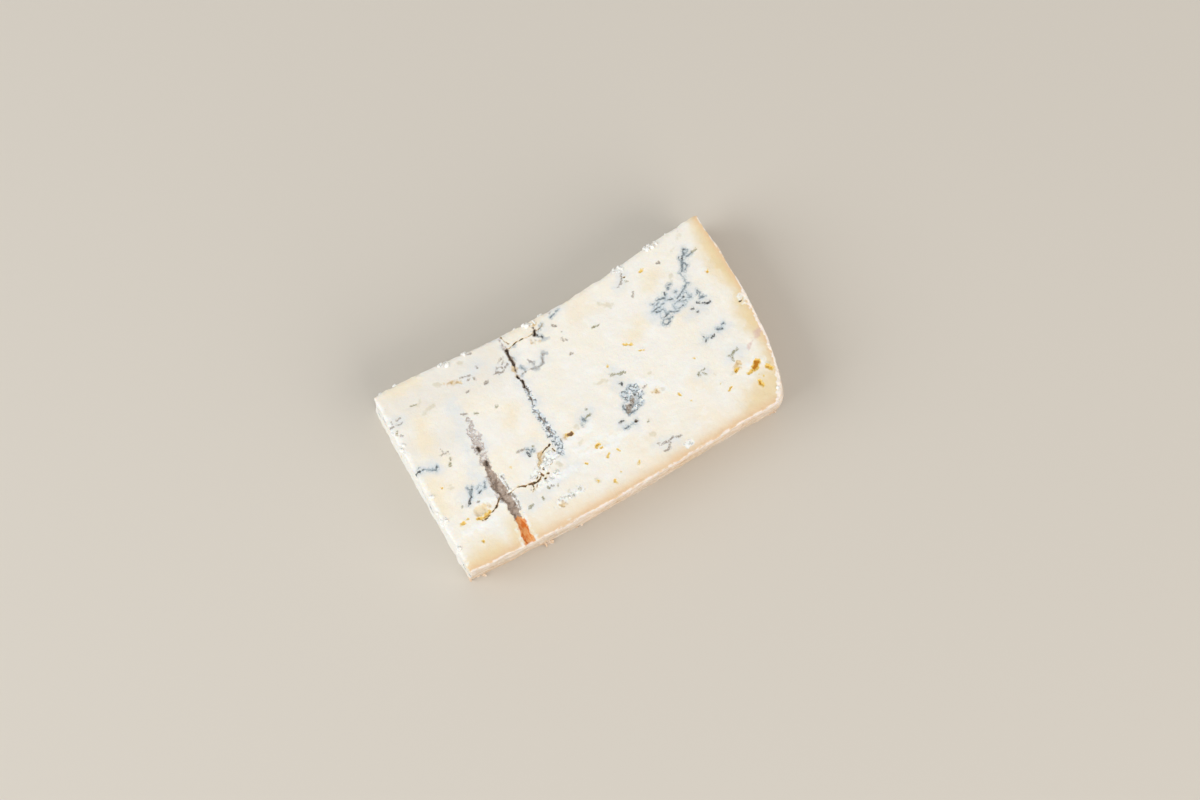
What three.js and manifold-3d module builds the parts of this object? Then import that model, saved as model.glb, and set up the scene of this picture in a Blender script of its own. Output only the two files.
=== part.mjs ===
// Gorgonzola wedge: a block from one half of a wheel's height, lying on a cut face.
// Millimetres, +Z up, origin under the middle of the block.
// The top is the other cut face. The -Y side is the wheel's flat rind and the +X end its
// outer rind. The +Y side is the cut at half height, and the -X end the cut at the centre.

import * as THREE from 'three';
import { ImprovedNoise } from 'three/addons/math/ImprovedNoise.js';
import { mergeGeometries, mergeVertices } from 'three/addons/utils/BufferGeometryUtils.js';
import loadManifold from 'manifold-3d';

// Thickness of the block at the centre cut, and how much thicker the outer rind end is
const HEIGHT = 28;
const OUTER_RISE = 1.2;

// Corners of the top face. Places on it are [along, across] from the heel, where the flat
// rind meets the centre cut.
const HEEL = [0, 0];
const TOE = [153.5, -0.8];
const CROWN = [163.4, 90.3];
const HEART = [-0.8, 88.3];

// Sides of the top face: how far each bows out of its chord, how the peak is shifted along
// it, and how steeply the bow falls off. left is 1 where outwards is left of the chord.
const FLAT_RIND = { from: HEEL, to: TOE, left: -1, bow: 2.3, skew: 0.75, steep: 2 };
const HALF_CUT = { from: HEART, to: CROWN, left: 1, bow: -4.9, skew: 1, steep: 2 };
const CENTRE_CUT = { from: HEEL, to: HEART, left: 1, bow: 0.4, skew: 1, steep: 1 };
const OUTER_RIND = { from: TOE, to: CROWN, left: -1, bow: 6.8, skew: 0.66, steep: 1 };

// Walls: the centre cut spreads towards the foot and both rinds belly out at mid height
const CENTRE_FLARE = 3.3;
const HALF_CUT_FLARE = 0.8;
const RIND_BELLY = 0.7;
const OUTER_BELLY = 1.3;
const FLARE_POWER = 1.5;
const WALL_POWER = 14;

// Surface: swells of the soft top face, crumbled walls, whose two directions are drawn from
// places GRAIN_SHIFT apart, and the worn top edge
const SWELL = 0.4;
const SWELL_SPACING = 22;
const CRUMBLE = 0.8;
const CRUMBLE_SPACING = 5.5;
const GRAIN_SHIFT = 50;
const EDGE_WEAR = 0.7;

// Facets of the block along, across and up, and of the grooves cut into it
const CELLS = [54, 31, 5];
const GROOVE_SIDES = 7;
const GROOVE_STEP = 3;

// Needle channels, opened lengthwise by the cut: [along, across, width, depth] down each
const NEEDLE_CHANNELS = [
  [
    [30.4, 58, 0.7, 0.3], [29.3, 50, 1.5, 0.7], [28.8, 44.5, 2.3, 1.6], [28.3, 38, 2.4, 1.4],
    [28, 32, 2.8, 1.4], [27.9, 27, 4.2, 1.6], [28.9, 21, 3.4, 1.6], [29.2, 13, 3.3, 1.5],
    [29.1, 5, 3.6, 1.5], [28.3, -6, 4, 1.6],
  ],
  [
    [60.4, 79, 0.8, 0.8], [59.8, 74, 1.8, 2.4], [59.9, 70, 1.6, 2], [59.1, 65.5, 0.8, 0.8],
    [59.5, 61, 1.8, 2], [59.6, 56, 0.8, 0.6], [58.4, 51, 1, 0.7], [58.9, 44, 1.8, 0.8],
    [59.2, 37, 2.4, 0.9], [59.5, 31, 3.4, 0.8], [59.5, 26.5, 1, 0.3],
  ],
];

// Cracks, in the same form: narrow and deep
const CRACKS = [
  [
    [60.6, 78.2, 0.7, 0.8], [64, 78.6, 0.8, 1], [68, 79.3, 0.7, 1],
    [71, 78.7, 0.7, 1], [75, 79, 1.2, 1.4],
  ],
  [
    [77.4, 75.4, 0.8, 0.8], [75.4, 78, 2.2, 2.4], [75, 79.8, 2.4, 2.6],
    [75.9, 82.4, 1.4, 2], [75.9, 87, 1.4, 2],
  ],
  [[19.4, 18.5, 0.8, 0.8], [22.6, 19.1, 0.8, 1], [24.8, 21.4, 0.9, 1.2], [27.6, 22.4, 1.2, 1.4]],
  [
    [30.4, 21.4, 1, 1.2], [33.6, 22.5, 0.8, 1], [37.6, 21.8, 0.8, 1], [41, 20.8, 1, 1.4],
    [44.2, 20.4, 1.2, 1.6], [46.3, 21.6, 1.6, 2], [46.8, 24, 0.8, 1],
  ],
  [[51.6, 30.1, 0.8, 0.8], [54, 31.2, 1.2, 1.4], [57.6, 32, 1, 1]],
  [[12.6, 26.1, 1.1, 0.8], [15.2, 28.4, 0.9, 0.7], [18.4, 32.4, 0.7, 0.4]],
  [
    [150.4, 77.8, 1.2, 0.6], [147.2, 74.6, 1.6, 0.8], [144.5, 70, 0.8, 0.6],
    [144.4, 65.6, 0.8, 0.6], [139, 61.8, 0.7, 0.4],
  ],
];

// Pits and hollows: [along, across, length, width, turn in degrees, depth]
const PITS = [
  [16.4, 18.9, 8, 2.6, 0, 1.6], [7.2, 20.4, 2.2, 1.3, -10, 0.8], [11.2, 9.2, 1.8, 1.8, 0, 0.8],
  [49.2, 24.3, 1.4, 1.4, 0, 1.2], [52.7, 24.6, 1.2, 1.2, 0, 1], [49.4, 21.2, 1.2, 1.6, 0, 1],
  [49.5, 28.2, 2, 3.2, -20, 0.8], [66.4, 31.6, 2.8, 1.8, 0, 1.4], [74.4, 21.5, 2.7, 1.6, 0, 0.8],
  [66.2, 16.9, 1.8, 1.3, 10, 0.6], [76, 15.3, 2.9, 1.2, 20, 0.6], [81.5, 14.9, 2.5, 1.4, 0, 0.5],
  [94.2, 22.4, 1.9, 1.4, 10, 1.4], [88.8, 25.3, 2.5, 1, 0, 0.8], [95, 28.8, 3.2, 3.8, 0, 1],
  [98, 32.6, 2.4, 4.8, -20, 1], [96.8, 40.2, 1.9, 1.2, 0, 0.8], [95.5, 45.2, 2.8, 1.4, -20, 1],
  [108.5, 29.7, 2, 1.4, 0, 0.7], [116.5, 23.6, 1.4, 1.2, 40, 0.6], [108.2, 54, 3.6, 0.9, -25, 0.6],
  [142.5, 38.8, 3.2, 1.3, 0, 0.8], [146.8, 39.8, 2.2, 1.1, 0, 0.6], [144, 20.4, 3.4, 1.4, 0, 0.8],
  [152.4, 18, 5.4, 3, 32, 1.8], [157, 14.5, 2.6, 1, -40, 0.9], [150.2, 10, 1.2, 3, 10, 1],
];

const wasm = await loadManifold();
wasm.setup();
const noise = new ImprovedNoise();

// A point of one side of the top face, u from its first corner to its second
function sidePoint({ from, to, left, bow, skew, steep }, u) {
  const start = new THREE.Vector2(...from);
  const chord = new THREE.Vector2(...to).sub(start);
  const outwards = new THREE.Vector2(-chord.y, chord.x).normalize().multiplyScalar(left);
  const v = u ** skew;
  const reach = bow * (4 * v * (1 - v)) ** steep;
  return start.addScaledVector(chord, u).addScaledVector(outwards, reach);
}

// A point of the top face spanned by its four bowed sides, s along and t across
function facePoint(s, t) {
  const shares = [[HEEL, (1 - s) * (1 - t)], [TOE, s * (1 - t)], [CROWN, s * t], [HEART, (1 - s) * t]];
  const point = new THREE.Vector2()
    .addScaledVector(sidePoint(FLAT_RIND, s), 1 - t)
    .addScaledVector(sidePoint(HALF_CUT, s), t)
    .addScaledVector(sidePoint(CENTRE_CUT, t), 1 - s)
    .addScaledVector(sidePoint(OUTER_RIND, t), s);
  for (const [corner, share] of shares) point.addScaledVector(new THREE.Vector2(...corner), -share);
  return point;
}

// Height of the smooth top face
function faceHeight(along) {
  return HEIGHT + OUTER_RISE * along / CROWN[0];
}

// A point of the block: s along, t across and h up, each from 0 to 1
function blockPoint(s, t, h) {
  const { x, y } = facePoint(s, t);
  const [centre, outer, rind, cut] = [1 - s, s, 1 - t, t].map((near) => near ** WALL_POWER);
  const belly = 4 * h * (1 - h);
  const flare = (1 - h) ** FLARE_POWER;
  const rim = Math.max(centre, outer, rind, cut);
  const swell = SWELL * noise.noise(x / SWELL_SPACING, y / SWELL_SPACING, 0);
  const z = h * (faceHeight(x) + swell - EDGE_WEAR * rim);
  const grain = new THREE.Vector3(x, y, z).divideScalar(CRUMBLE_SPACING);
  const crumble = [0, GRAIN_SHIFT].map(
    (shift) => CRUMBLE * rim * noise.noise(grain.x, grain.y + shift, grain.z),
  );
  return new THREE.Vector3(
    x - CENTRE_FLARE * centre * flare + OUTER_BELLY * outer * belly + crumble[0],
    y - RIND_BELLY * rind * belly + HALF_CUT_FLARE * cut * flare + crumble[1],
    z,
  );
}

// Moves every vertex of a geometry by place(x, y, z), and leaves only shared positions
function bend(geometry, place) {
  geometry.deleteAttribute('normal');
  geometry.deleteAttribute('uv');
  const position = geometry.getAttribute('position');
  for (let i = 0; i < position.count; i += 1) {
    const moved = place(position.getX(i), position.getY(i), position.getZ(i));
    position.setXYZ(i, moved.x, moved.y, moved.z);
  }
  return mergeVertices(geometry);
}

// The foot of the block: one flat face inside the rim of the walls
function foot() {
  const [along, across] = CELLS;
  const rim = [];
  for (let i = 0; i < along; i += 1) rim.push(blockPoint(i / along, 0, 0));
  for (let i = 0; i < across; i += 1) rim.push(blockPoint(1, i / across, 0));
  for (let i = along; i > 0; i -= 1) rim.push(blockPoint(i / along, 1, 0));
  for (let i = across; i > 0; i -= 1) rim.push(blockPoint(0, i / across, 0));
  const faces = THREE.ShapeUtils.triangulateShape(rim, []);
  return new THREE.BufferGeometry().setFromPoints(rim).setIndex(faces.flatMap(([a, b, c]) => [a, c, b]));
}

function block() {
  const shell = new THREE.BoxGeometry(1, 1, 1, ...CELLS);
  const underside = shell.groups.at(-1);
  shell.setIndex(Array.from(shell.getIndex().array).slice(0, underside.start));
  const walls = bend(shell, (x, y, z) => blockPoint(x + 0.5, y + 0.5, z + 0.5));
  return mergeVertices(mergeGeometries([walls, foot()]));
}

// A rod that lies half sunk in the top face along a route of [along, across, width, depth]
function groove(route) {
  const path = new THREE.CatmullRomCurve3(
    route.map(([along, across]) => new THREE.Vector3(along, across, faceHeight(along))),
  );
  const section = new THREE.CatmullRomCurve3(
    route.map(([, , width, depth]) => new THREE.Vector3(width / 2, depth, 0)),
  );
  const steps = Math.ceil(path.getLength() / GROOVE_STEP);
  return bend(new THREE.CylinderGeometry(1, 1, 1, GROOVE_SIDES, steps), (x, y, z) => {
    const u = y + 0.5;
    const ahead = path.getTangent(u);
    const { x: half, y: depth } = section.getPoint(u);
    const across = new THREE.Vector3(ahead.y, -ahead.x, 0).normalize();
    return path.getPoint(u).addScaledVector(across, x * half).add(new THREE.Vector3(0, 0, z * depth));
  });
}

function pit([along, across, length, width, turn, depth]) {
  const lens = new THREE.OctahedronGeometry(1, 1)
    .scale(length / 2, width / 2, depth)
    .rotateZ(THREE.MathUtils.degToRad(turn))
    .translate(along, across, faceHeight(along));
  return bend(lens, (x, y, z) => new THREE.Vector3(x, y, z));
}

function solidOf(geometry) {
  const vertProperties = Float32Array.from(geometry.getAttribute('position').array);
  const triVerts = Uint32Array.from(geometry.getIndex().array);
  return new wasm.Manifold(new wasm.Mesh({ numProp: 3, vertProperties, triVerts }));
}

function geometryOf(solid) {
  const { vertProperties, triVerts } = solid.getMesh();
  const geometry = new THREE.BufferGeometry();
  geometry.setAttribute('position', new THREE.BufferAttribute(vertProperties, 3));
  geometry.setIndex(new THREE.BufferAttribute(triVerts, 1));
  return geometry;
}

// Sets the origin under the middle of the bounding box
function centred(geometry) {
  geometry.computeBoundingBox();
  const middle = geometry.boundingBox.getCenter(new THREE.Vector3());
  return geometry.translate(-middle.x, -middle.y, -geometry.boundingBox.min.z);
}

let cheese = solidOf(block());
for (const cut of [...[...NEEDLE_CHANNELS, ...CRACKS].map(groove), ...PITS.map(pit)]) {
  cheese = cheese.subtract(solidOf(cut));
}

const paste = new THREE.MeshStandardMaterial({ color: 0xf0e8d9, roughness: 0.6, metalness: 0 });
const wedge = new THREE.Mesh(centred(geometryOf(cheese)), paste);
wedge.name = 'gorgonzola_wedge';

export default new THREE.Group().add(wedge);
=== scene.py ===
"""A block of gorgonzola: veined paste, tan rind, opened needle channels, pits and crumbs."""

import itertools
import math
from typing import NamedTuple

import bpy
import numpy as np
from bpy.props import FloatProperty, FloatVectorProperty, IntProperty, PointerProperty
from bpy.types import Operator, Panel, PropertyGroup
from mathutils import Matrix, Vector
from mathutils.geometry import delaunay_2d_cdt


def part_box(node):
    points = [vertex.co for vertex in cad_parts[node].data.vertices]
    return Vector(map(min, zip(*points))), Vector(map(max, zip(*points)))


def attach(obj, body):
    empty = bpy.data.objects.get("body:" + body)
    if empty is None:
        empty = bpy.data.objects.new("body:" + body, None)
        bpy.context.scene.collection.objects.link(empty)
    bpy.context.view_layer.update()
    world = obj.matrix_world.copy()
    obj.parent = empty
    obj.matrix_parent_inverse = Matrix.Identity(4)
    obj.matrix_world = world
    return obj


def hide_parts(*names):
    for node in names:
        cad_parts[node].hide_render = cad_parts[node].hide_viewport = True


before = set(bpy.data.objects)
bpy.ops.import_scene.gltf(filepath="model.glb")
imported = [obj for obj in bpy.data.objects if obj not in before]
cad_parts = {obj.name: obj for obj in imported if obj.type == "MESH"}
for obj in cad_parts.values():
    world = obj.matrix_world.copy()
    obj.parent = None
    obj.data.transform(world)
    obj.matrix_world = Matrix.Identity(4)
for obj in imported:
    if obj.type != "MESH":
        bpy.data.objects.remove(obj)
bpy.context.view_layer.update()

bl_info = {
    "name": "Gorgonzola Wedge",
    "version": (1, 0, 0),
    "blender": (4, 5, 0),
    "location": "3D View > Sidebar > Gorgonzola",
    "description": "Builds a block of blue-veined cheese with its rind, needle channels and crumbs",
    "category": "Object",
}

MM = 0.001
NODE = "gorgonzola_wedge"

# Where the heel of the top face lies, in millimetres from the low corner of the solid's box
HEEL_FROM_CORNER = (4.42, 3.77)

# Main sizes of the block, in millimetres like all lengths below that aren't multiplied by MM
HEIGHT = 28.0
OUTER_RISE = 1.2
FACE_LENGTH = 163.4
FACE_WIDTH = 90.0

# How much faster the outer rind's colour fades into the paste than the flat rind's
OUTER_FADE = 1.5

# A distance that counts as nowhere near a stroke, and how far a stroke's colour may reach
FAR = 20.0
REACH = 5.0

# Keeps a stroke of one point from being divided by its length of zero
TINY = 1e-9

# Places along a side that distances are taken from, and how often the outline's corners are softened
SIDE_SAMPLES = 200
CORNER_ROUNDS = 2

# Mesh of the top face: the box that it is cut from, its jitter, and how far it stays from the rim
FACE_LOW = (-2.0, -4.0)
FACE_HIGH = (168.0, 94.0)
JITTER = 0.3
RIM_CLEARANCE = 0.75
INNER_RING = 0.38

# How far from a sharp mark the mesh is fine, and the mesh of the foot
FINE_REACH = 0.7
FOOT_PITCH = 2.0
FOOT_CLEARANCE = 2.0

# How places are cut into triangles: only inside the ring, with points this close taken as one
INSIDE_ONLY = 1
MERGE_DISTANCE = 1e-6

# Wear along the cut edges, and the ridge along the rind
WEAR_WIDTH = 0.55
RIDGE_INSET = 0.4
RIDGE_WIDTH = 0.4

# Raised rims around the sharpest marks, and how rough the floors of the marks are
RIMMED_KINDS = ("channel", "fissure", "crack", "ochre")
RIM_HEIGHT = 0.14
RIM_RISE = 0.25
RIM_REACH = 1.0
RIM_FALL = 0.7
FLOOR_ROUGHNESS = 0.25

# Walls: how their rows crowd together, and how flares, dents in the rim and a neighbour's lean die out
ROW_CURVE = 1.15
FLARE_CURVE = 1.5
DENT_CURVE = 6
CORNER_CURVE = 14

# How far roughness may push a wall in and out, and how far marks of the walls stay from the rim
PUSH_LIMITS = (-1.2, 0.8)
WALL_MARK_GAP = 2

# Area of a hidden cut face for each patch of veins, pit and pale patch, and length for each crack
VEIN_AREA = 320
PIT_AREA = 260
PALE_AREA = 500
CRACK_SPAN = 80

# Fewest veins in such a patch and one more than its most, and how far they lie from its middle
VEINS_IN_PATCH = (3, 9)
PATCH_SPREAD = 2.4

# How far below the rim crumbs and the fringe lie, how far above the foot flakes do, and where they thin out
CRUMB_DROP = 3
CRUMB_FADE = 2
FRINGE_DROP = 2
FLAKE_RISE = 4
FLAKE_FADE = 3

# Pale patches and fringes of crumbs on the cut walls: how steep their lumps are, and how much of each is lost
PALE_STEEP = 0.8
PALE_LOSS = 0.3
FRINGE_STEEP = 4
FRINGE_LOSS = 1.8

# Factors and shifts that scramble the number of a cell into a random one
CELL_FACTORS = np.array([73856093, 19349663, 83492791])
SEED_FACTOR = 2654435761
SCRAMBLES = ((15, 2246822519), (13, 3266489917))
LAST_SHIFT = 16
LOW_BITS = 0xFFFFFFFF
HALF_RANGE = 0x7FFFFFFF

# Angle between faces over which an edge is shaded sharp
SHARP_ANGLE = math.radians(60)


class Lump(NamedTuple):
    """One layer of lumps: how far apart they lie, how high they are and the seed of their heights."""

    spacing: float
    height: float
    seed: int


# Small shifts that make strokes look grown: spacing of the lumps, size, and seeds along and across
WOBBLES = ((2.1, 0.28, (41, 42)), (0.8, 0.2, (43, 44)))

# Lumps in the edges of marks, in the top face and in the walls
RAGGED_EDGES = (Lump(1.8, 0.55, 45), Lump(0.75, 0.4, 46))
SWELLS = (Lump(22.0, 1.0, 61), Lump(7.0, 0.3, 62))
GRAIN = (Lump(2.4, 1.0, 63), Lump(1.1, 0.6, 64))
CRUMBLE = (Lump(4.5, 1.0, 71), Lump(1.8, 0.7, 72), Lump(0.9, 0.35, 73))
WRINKLES = (Lump(9.0, 1.0, 74), Lump(1.3, 0.4, 76))
CREASES = (Lump(6.0, 0.7, 75),)

# How much shorter the creases of the rind are upwards than along
CREASE_SQUASH = np.array([1.0, 1.0, 4.0])


class Side(NamedTuple):
    """One side of the top face, a bowed line between two corners, and how the wall under it looks."""

    start: tuple
    end: tuple
    outward: tuple
    bow: float
    skew: float
    steep: float
    flare: float
    belly: float
    rind: bool
    veined: float


class Kind(NamedTuple):
    """One kind of mark: its strokes, how deep or raised, over what width it gets there, how ragged."""

    strokes: tuple
    depth: float
    slope: float
    ragged: float


# Corners of the top face and its sides in turn, all in millimetres along and across from the heel
HEEL, TOE, CROWN, HEART = (0.0, 0.0), (153.5, -0.8), (163.4, 90.3), (-0.8, 88.3)
SIDES = (
    Side(HEEL, TOE, (0, -1), bow=2.3, skew=0.75, steep=2, flare=0.0, belly=0.7, rind=True, veined=0),
    Side(TOE, CROWN, (1, 0), bow=6.8, skew=0.66, steep=1, flare=0.0, belly=1.3, rind=True, veined=0),
    Side(CROWN, HEART, (0, 1), bow=-5.1, skew=0.94, steep=2, flare=0.8, belly=0.0, rind=False, veined=1),
    Side(HEART, HEEL, (-1, 0), bow=0.4, skew=1, steep=1, flare=3.3, belly=0.0, rind=False, veined=0.4),
)

# Strokes on the top face: the width first, then the points that it passes, all in millimetres
CHANNEL = (
    (4.2, (28.4, -4.0), (28.6, 1.0)),
    (4.0, (28.6, 1.0), (28.9, 5.0)),
    (3.5, (28.9, 5.0), (29.2, 11.0)),
    (4.0, (29.2, 11.0), (29.2, 17.0), (28.8, 22.0)),
    (4.6, (28.5, 23.0), (27.8, 28.0)),
    (3.4, (27.9, 28.0), (27.9, 33.0)),
    (3.0, (27.9, 33.0), (28.0, 38.0)),
)
ORANGE = (
    (3.6, (29.2, 9.8), (29.0, 6.0)),
    (4.4, (28.8, 6.0), (28.6, 1.0), (28.3, -1.4)),
)
FISSURES = (
    (1.3, (60.2, 78.0), (59.8, 74.0), (60.0, 71.0)),
    (0.4, (60.0, 71.0), (59.4, 67.5), (58.9, 65.0), (59.4, 63.0)),
    (1.15, (59.9, 62.6), (59.3, 59.8)),
    (0.1, (59.2, 59.4), (60.2, 57.8), (59.8, 56.4), (58.9, 55.4), (59.5, 53.8), (58.8, 52.4), (58.2, 51.0)),
    (0.05, (57.8, 47.8), (59.0, 46.4), (58.5, 44.6), (59.0, 43.0), (59.8, 41.6)),
    (0.05, (59.2, 39.8), (60.0, 38.6), (58.8, 37.4), (59.6, 36.2), (60.4, 34.8)),
    (1.7, (28.7, 45.8), (28.8, 44.6)),
    (0.65, (28.2, 37.8), (28.8, 39.5)),
    (1.5, (74.4, 78.0), (75.0, 79.4)),
    (0.5, (75.0, 79.4), (75.4, 81.2)),
    (0.9, (94.0, 22.4), (94.5, 22.3)),
)
SPECKLES = (
    (2.6, (60.3, 58.8), (59.2, 53.5), (58.4, 49.5)),
    (2.8, (58.3, 49.0), (58.6, 46.0), (59.1, 42.5)),
    (3.2, (59.1, 42.5), (59.3, 37.0)),
    (3.8, (59.3, 37.0), (59.5, 32.0), (59.5, 27.0)),
    (1.2, (25.6, 23.4), (26.6, 21.2)),
    (4.0, (95.2, 34.8), (101.0, 35.2)),
    (2.6, (101.6, 34.0), (100.6, 29.0)),
    (1.6, (97.4, 27.8), (100.0, 28.6)),
)
SCARS = (
    (3.6, (28.4, 38.5), (28.8, 43.0), (29.2, 47.0)),
    (4.4, (29.2, 47.0), (30.2, 54.0)),
    (2.8, (30.2, 54.0), (31.0, 58.5)),
    (2.0, (59.9, 83.0), (60.0, 78.5)),
    (1.6, (26.4, 33.0), (26.2, 22.0)),
)
CRACKS = (
    (0.38, (60.6, 78.4), (62.0, 78.0), (64.0, 78.6), (66.0, 79.2), (68.5, 79.3), (70.8, 78.6), (74.4, 79.0)),
    (0.35, (75.6, 79.2), (77.2, 79.4), (78.7, 79.6), (79.6, 80.5)),
    (0.5, (61.0, 84.2), (61.6, 82.2), (62.4, 80.0)),
    (0.5, (20.0, 18.7), (22.2, 19.2), (23.2, 19.8), (24.5, 20.9), (26.0, 22.4)),
    (0.32, (31.2, 21.8), (33.0, 22.5), (35.0, 22.5), (37.0, 22.1), (38.5, 21.4), (40.0, 21.0)),
    (0.85, (40.0, 21.0), (42.0, 20.6), (43.5, 20.3), (45.5, 20.6), (46.7, 21.8)),
    (1.2, (46.6, 23.2), (47.4, 21.5)),
    (1.0, (49.0, 24.2), (49.6, 23.6)),
    (0.7, (49.4, 21.2), (49.8, 20.9)),
    (1.1, (52.4, 24.4), (53.0, 24.8)),
    (0.55, (44.6, 21.8), (45.2, 22.4)),
    (0.6, (47.6, 20.0), (48.6, 20.2)),
    (0.8, (52.0, 30.4), (53.5, 31.0), (55.0, 31.5), (56.4, 32.0)),
    (0.65, (56.5, 29.5), (57.3, 28.3)),
    (0.6, (41.6, 19.8), (41.4, 18.8), (40.0, 17.6)),
    (0.45, (15.4, 17.5), (17.4, 17.4), (19.2, 18.0)),
    (1.9, (66.0, 31.6), (66.9, 31.6)),
    (0.6, (121.6, 81.2), (122.0, 81.0)),
    (0.5, (161.0, 46.5), (162.0, 46.7)),
    (0.5, (43.4, 19.6), (42.6, 18.4)),
)
TAN_STAINS = (
    (1.4, (74.0, 74.9), (74.4, 74.7)),
    (0.5, (71.5, 75.8)),
    (1.1, (76.1, 82.5), (76.3, 82.0)),
    (2.6, (49.4, 28.2), (51.2, 30.4)),
    (1.8, (47.6, 25.6), (49.4, 28.2)),
    (1.4, (59.2, 69.6), (58.8, 66.2)),
    (0.7, (28.8, 78.5), (32.0, 77.2), (35.0, 76.7), (36.2, 75.0)),
    (1.2, (63.2, 31.5), (65.2, 31.6)),
    (2.4, (144.6, 21.6), (146.2, 22.2)),
    (1.4, (19.2, 22.6), (20.2, 22.0)),
    (2.6, (49.1, 6.6)),
    (2.4, (108.0, 29.7), (108.8, 29.8)),
)
OCHRE_PITS = (
    (2.88, (151.4, 17.3), (153.6, 18.8)),
    (1.5, (147.4, 16.7), (150.4, 17.2)),
    (1.9, (156.0, 15.3), (157.8, 13.7)),
    (1.8, (150.5, 11.3), (149.9, 10.2), (150.8, 8.8)),
    (0.5, (143.2, 20.3), (144.8, 20.5)),
    (0.72, (152.8, 12.3)),
    (0.63, (151.5, 14.0)),
    (1.44, (73.8, 21.4), (75.0, 21.6)),
    (0.7, (75.2, 19.6), (75.9, 19.6)),
    (0.8, (66.0, 16.9), (66.5, 17.0)),
    (0.99, (75.2, 15.0), (76.8, 15.6)),
    (0.65, (81.2, 15.1), (82.0, 14.7)),
    (0.6, (67.0, 7.5)),
    (0.75, (73.5, 3.2), (73.6, 4.2)),
    (1.1, (77.5, 6.4)),
    (0.65, (85.0, 5.8), (87.0, 6.3)),
    (1.08, (6.8, 20.3), (7.8, 20.5)),
    (0.63, (7.8, 20.5), (10.3, 21.3)),
    (1.8, (11.1, 9.2), (11.3, 9.2)),
    (0.9, (6.6, 38.3)),
    (0.6, (36.2, 31.8), (36.8, 31.4)),
    (1.0, (95.2, 49.4)),
    (0.81, (106.6, 54.7), (109.7, 53.2)),
    (0.45, (110.8, 49.2), (113.0, 48.2)),
    (0.9, (116.2, 23.8), (116.8, 23.4)),
    (0.63, (119.8, 18.2)),
    (0.72, (130.0, 34.5), (130.6, 34.1)),
    (0.95, (135.0, 18.5)),
    (0.3, (136.0, 14.3), (138.5, 15.4)),
    (0.9, (154.2, 66.3), (155.6, 65.5)),
    (0.81, (128.5, 79.9), (130.4, 80.2)),
    (1.6, (13.4, 19.0), (14.8, 18.4), (16.6, 18.2), (18.4, 18.5), (19.5, 19.1)),
    (2.2, (65.4, 31.6), (67.2, 31.6)),
)
OLIVE_MARKS = (
    (0.6, (35.4, 12.1), (37.7, 12.7)),
    (1.1, (14.4, 45.2), (15.2, 46.4), (15.8, 47.4)),
    (0.52, (34.7, 60.2), (36.0, 59.3)),
    (0.68, (43.8, 58.4), (44.6, 58.0)),
    (0.5, (98.2, 68.2), (101.4, 67.8)),
    (0.68, (98.5, 19.7), (99.3, 20.0)),
    (0.68, (128.4, 27.2), (128.9, 25.5)),
    (1.1, (130.3, 27.0), (130.8, 25.8)),
    (1.0, (1.3, 69.3), (0.5, 68.2)),
    (0.52, (153.0, 76.1), (155.8, 76.6)),
    (0.6, (100.2, 44.0), (100.7, 43.4)),
    (0.68, (121.6, 79.2), (122.0, 78.8)),
    (0.68, (49.4, 34.6), (49.9, 34.8)),
    (0.52, (75.2, 34.0), (76.6, 34.4), (78.6, 34.6)),
    (0.6, (78.0, 38.0), (78.4, 37.6)),
    (0.9, (144.2, 27.6), (145.2, 26.8), (146.8, 27.8), (148.9, 28.3)),
    (1.0, (145.0, 26.6), (144.9, 25.0)),
    (0.42, (130.8, 27.4), (132.0, 27.8)),
    (0.5, (129.2, 27.6), (130.2, 28.0)),
    (0.95, (10.0, 26.7)),
    (0.7, (42.6, 13.4), (42.8, 12.4)),
    (0.8, (46.8, 15.7)),
    (0.8, (50.9, 14.5)),
    (0.6, (53.0, 8.3)),
    (0.8, (55.0, 8.0)),
    (1.1, (58.2, 8.6)),
    (1.0, (108.2, 29.7), (108.8, 29.8)),
    (0.5, (11.8, 76.5), (13.8, 76.2)),
    (0.5, (116.2, 23.8), (116.7, 23.4)),
    (0.6, (41.8, 19.4), (41.2, 17.8)),
    (1.7, (94.8, 45.5), (96.2, 45.1)),
    (1.1, (96.2, 45.1), (97.6, 44.5), (99.2, 43.8)),
)
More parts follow.
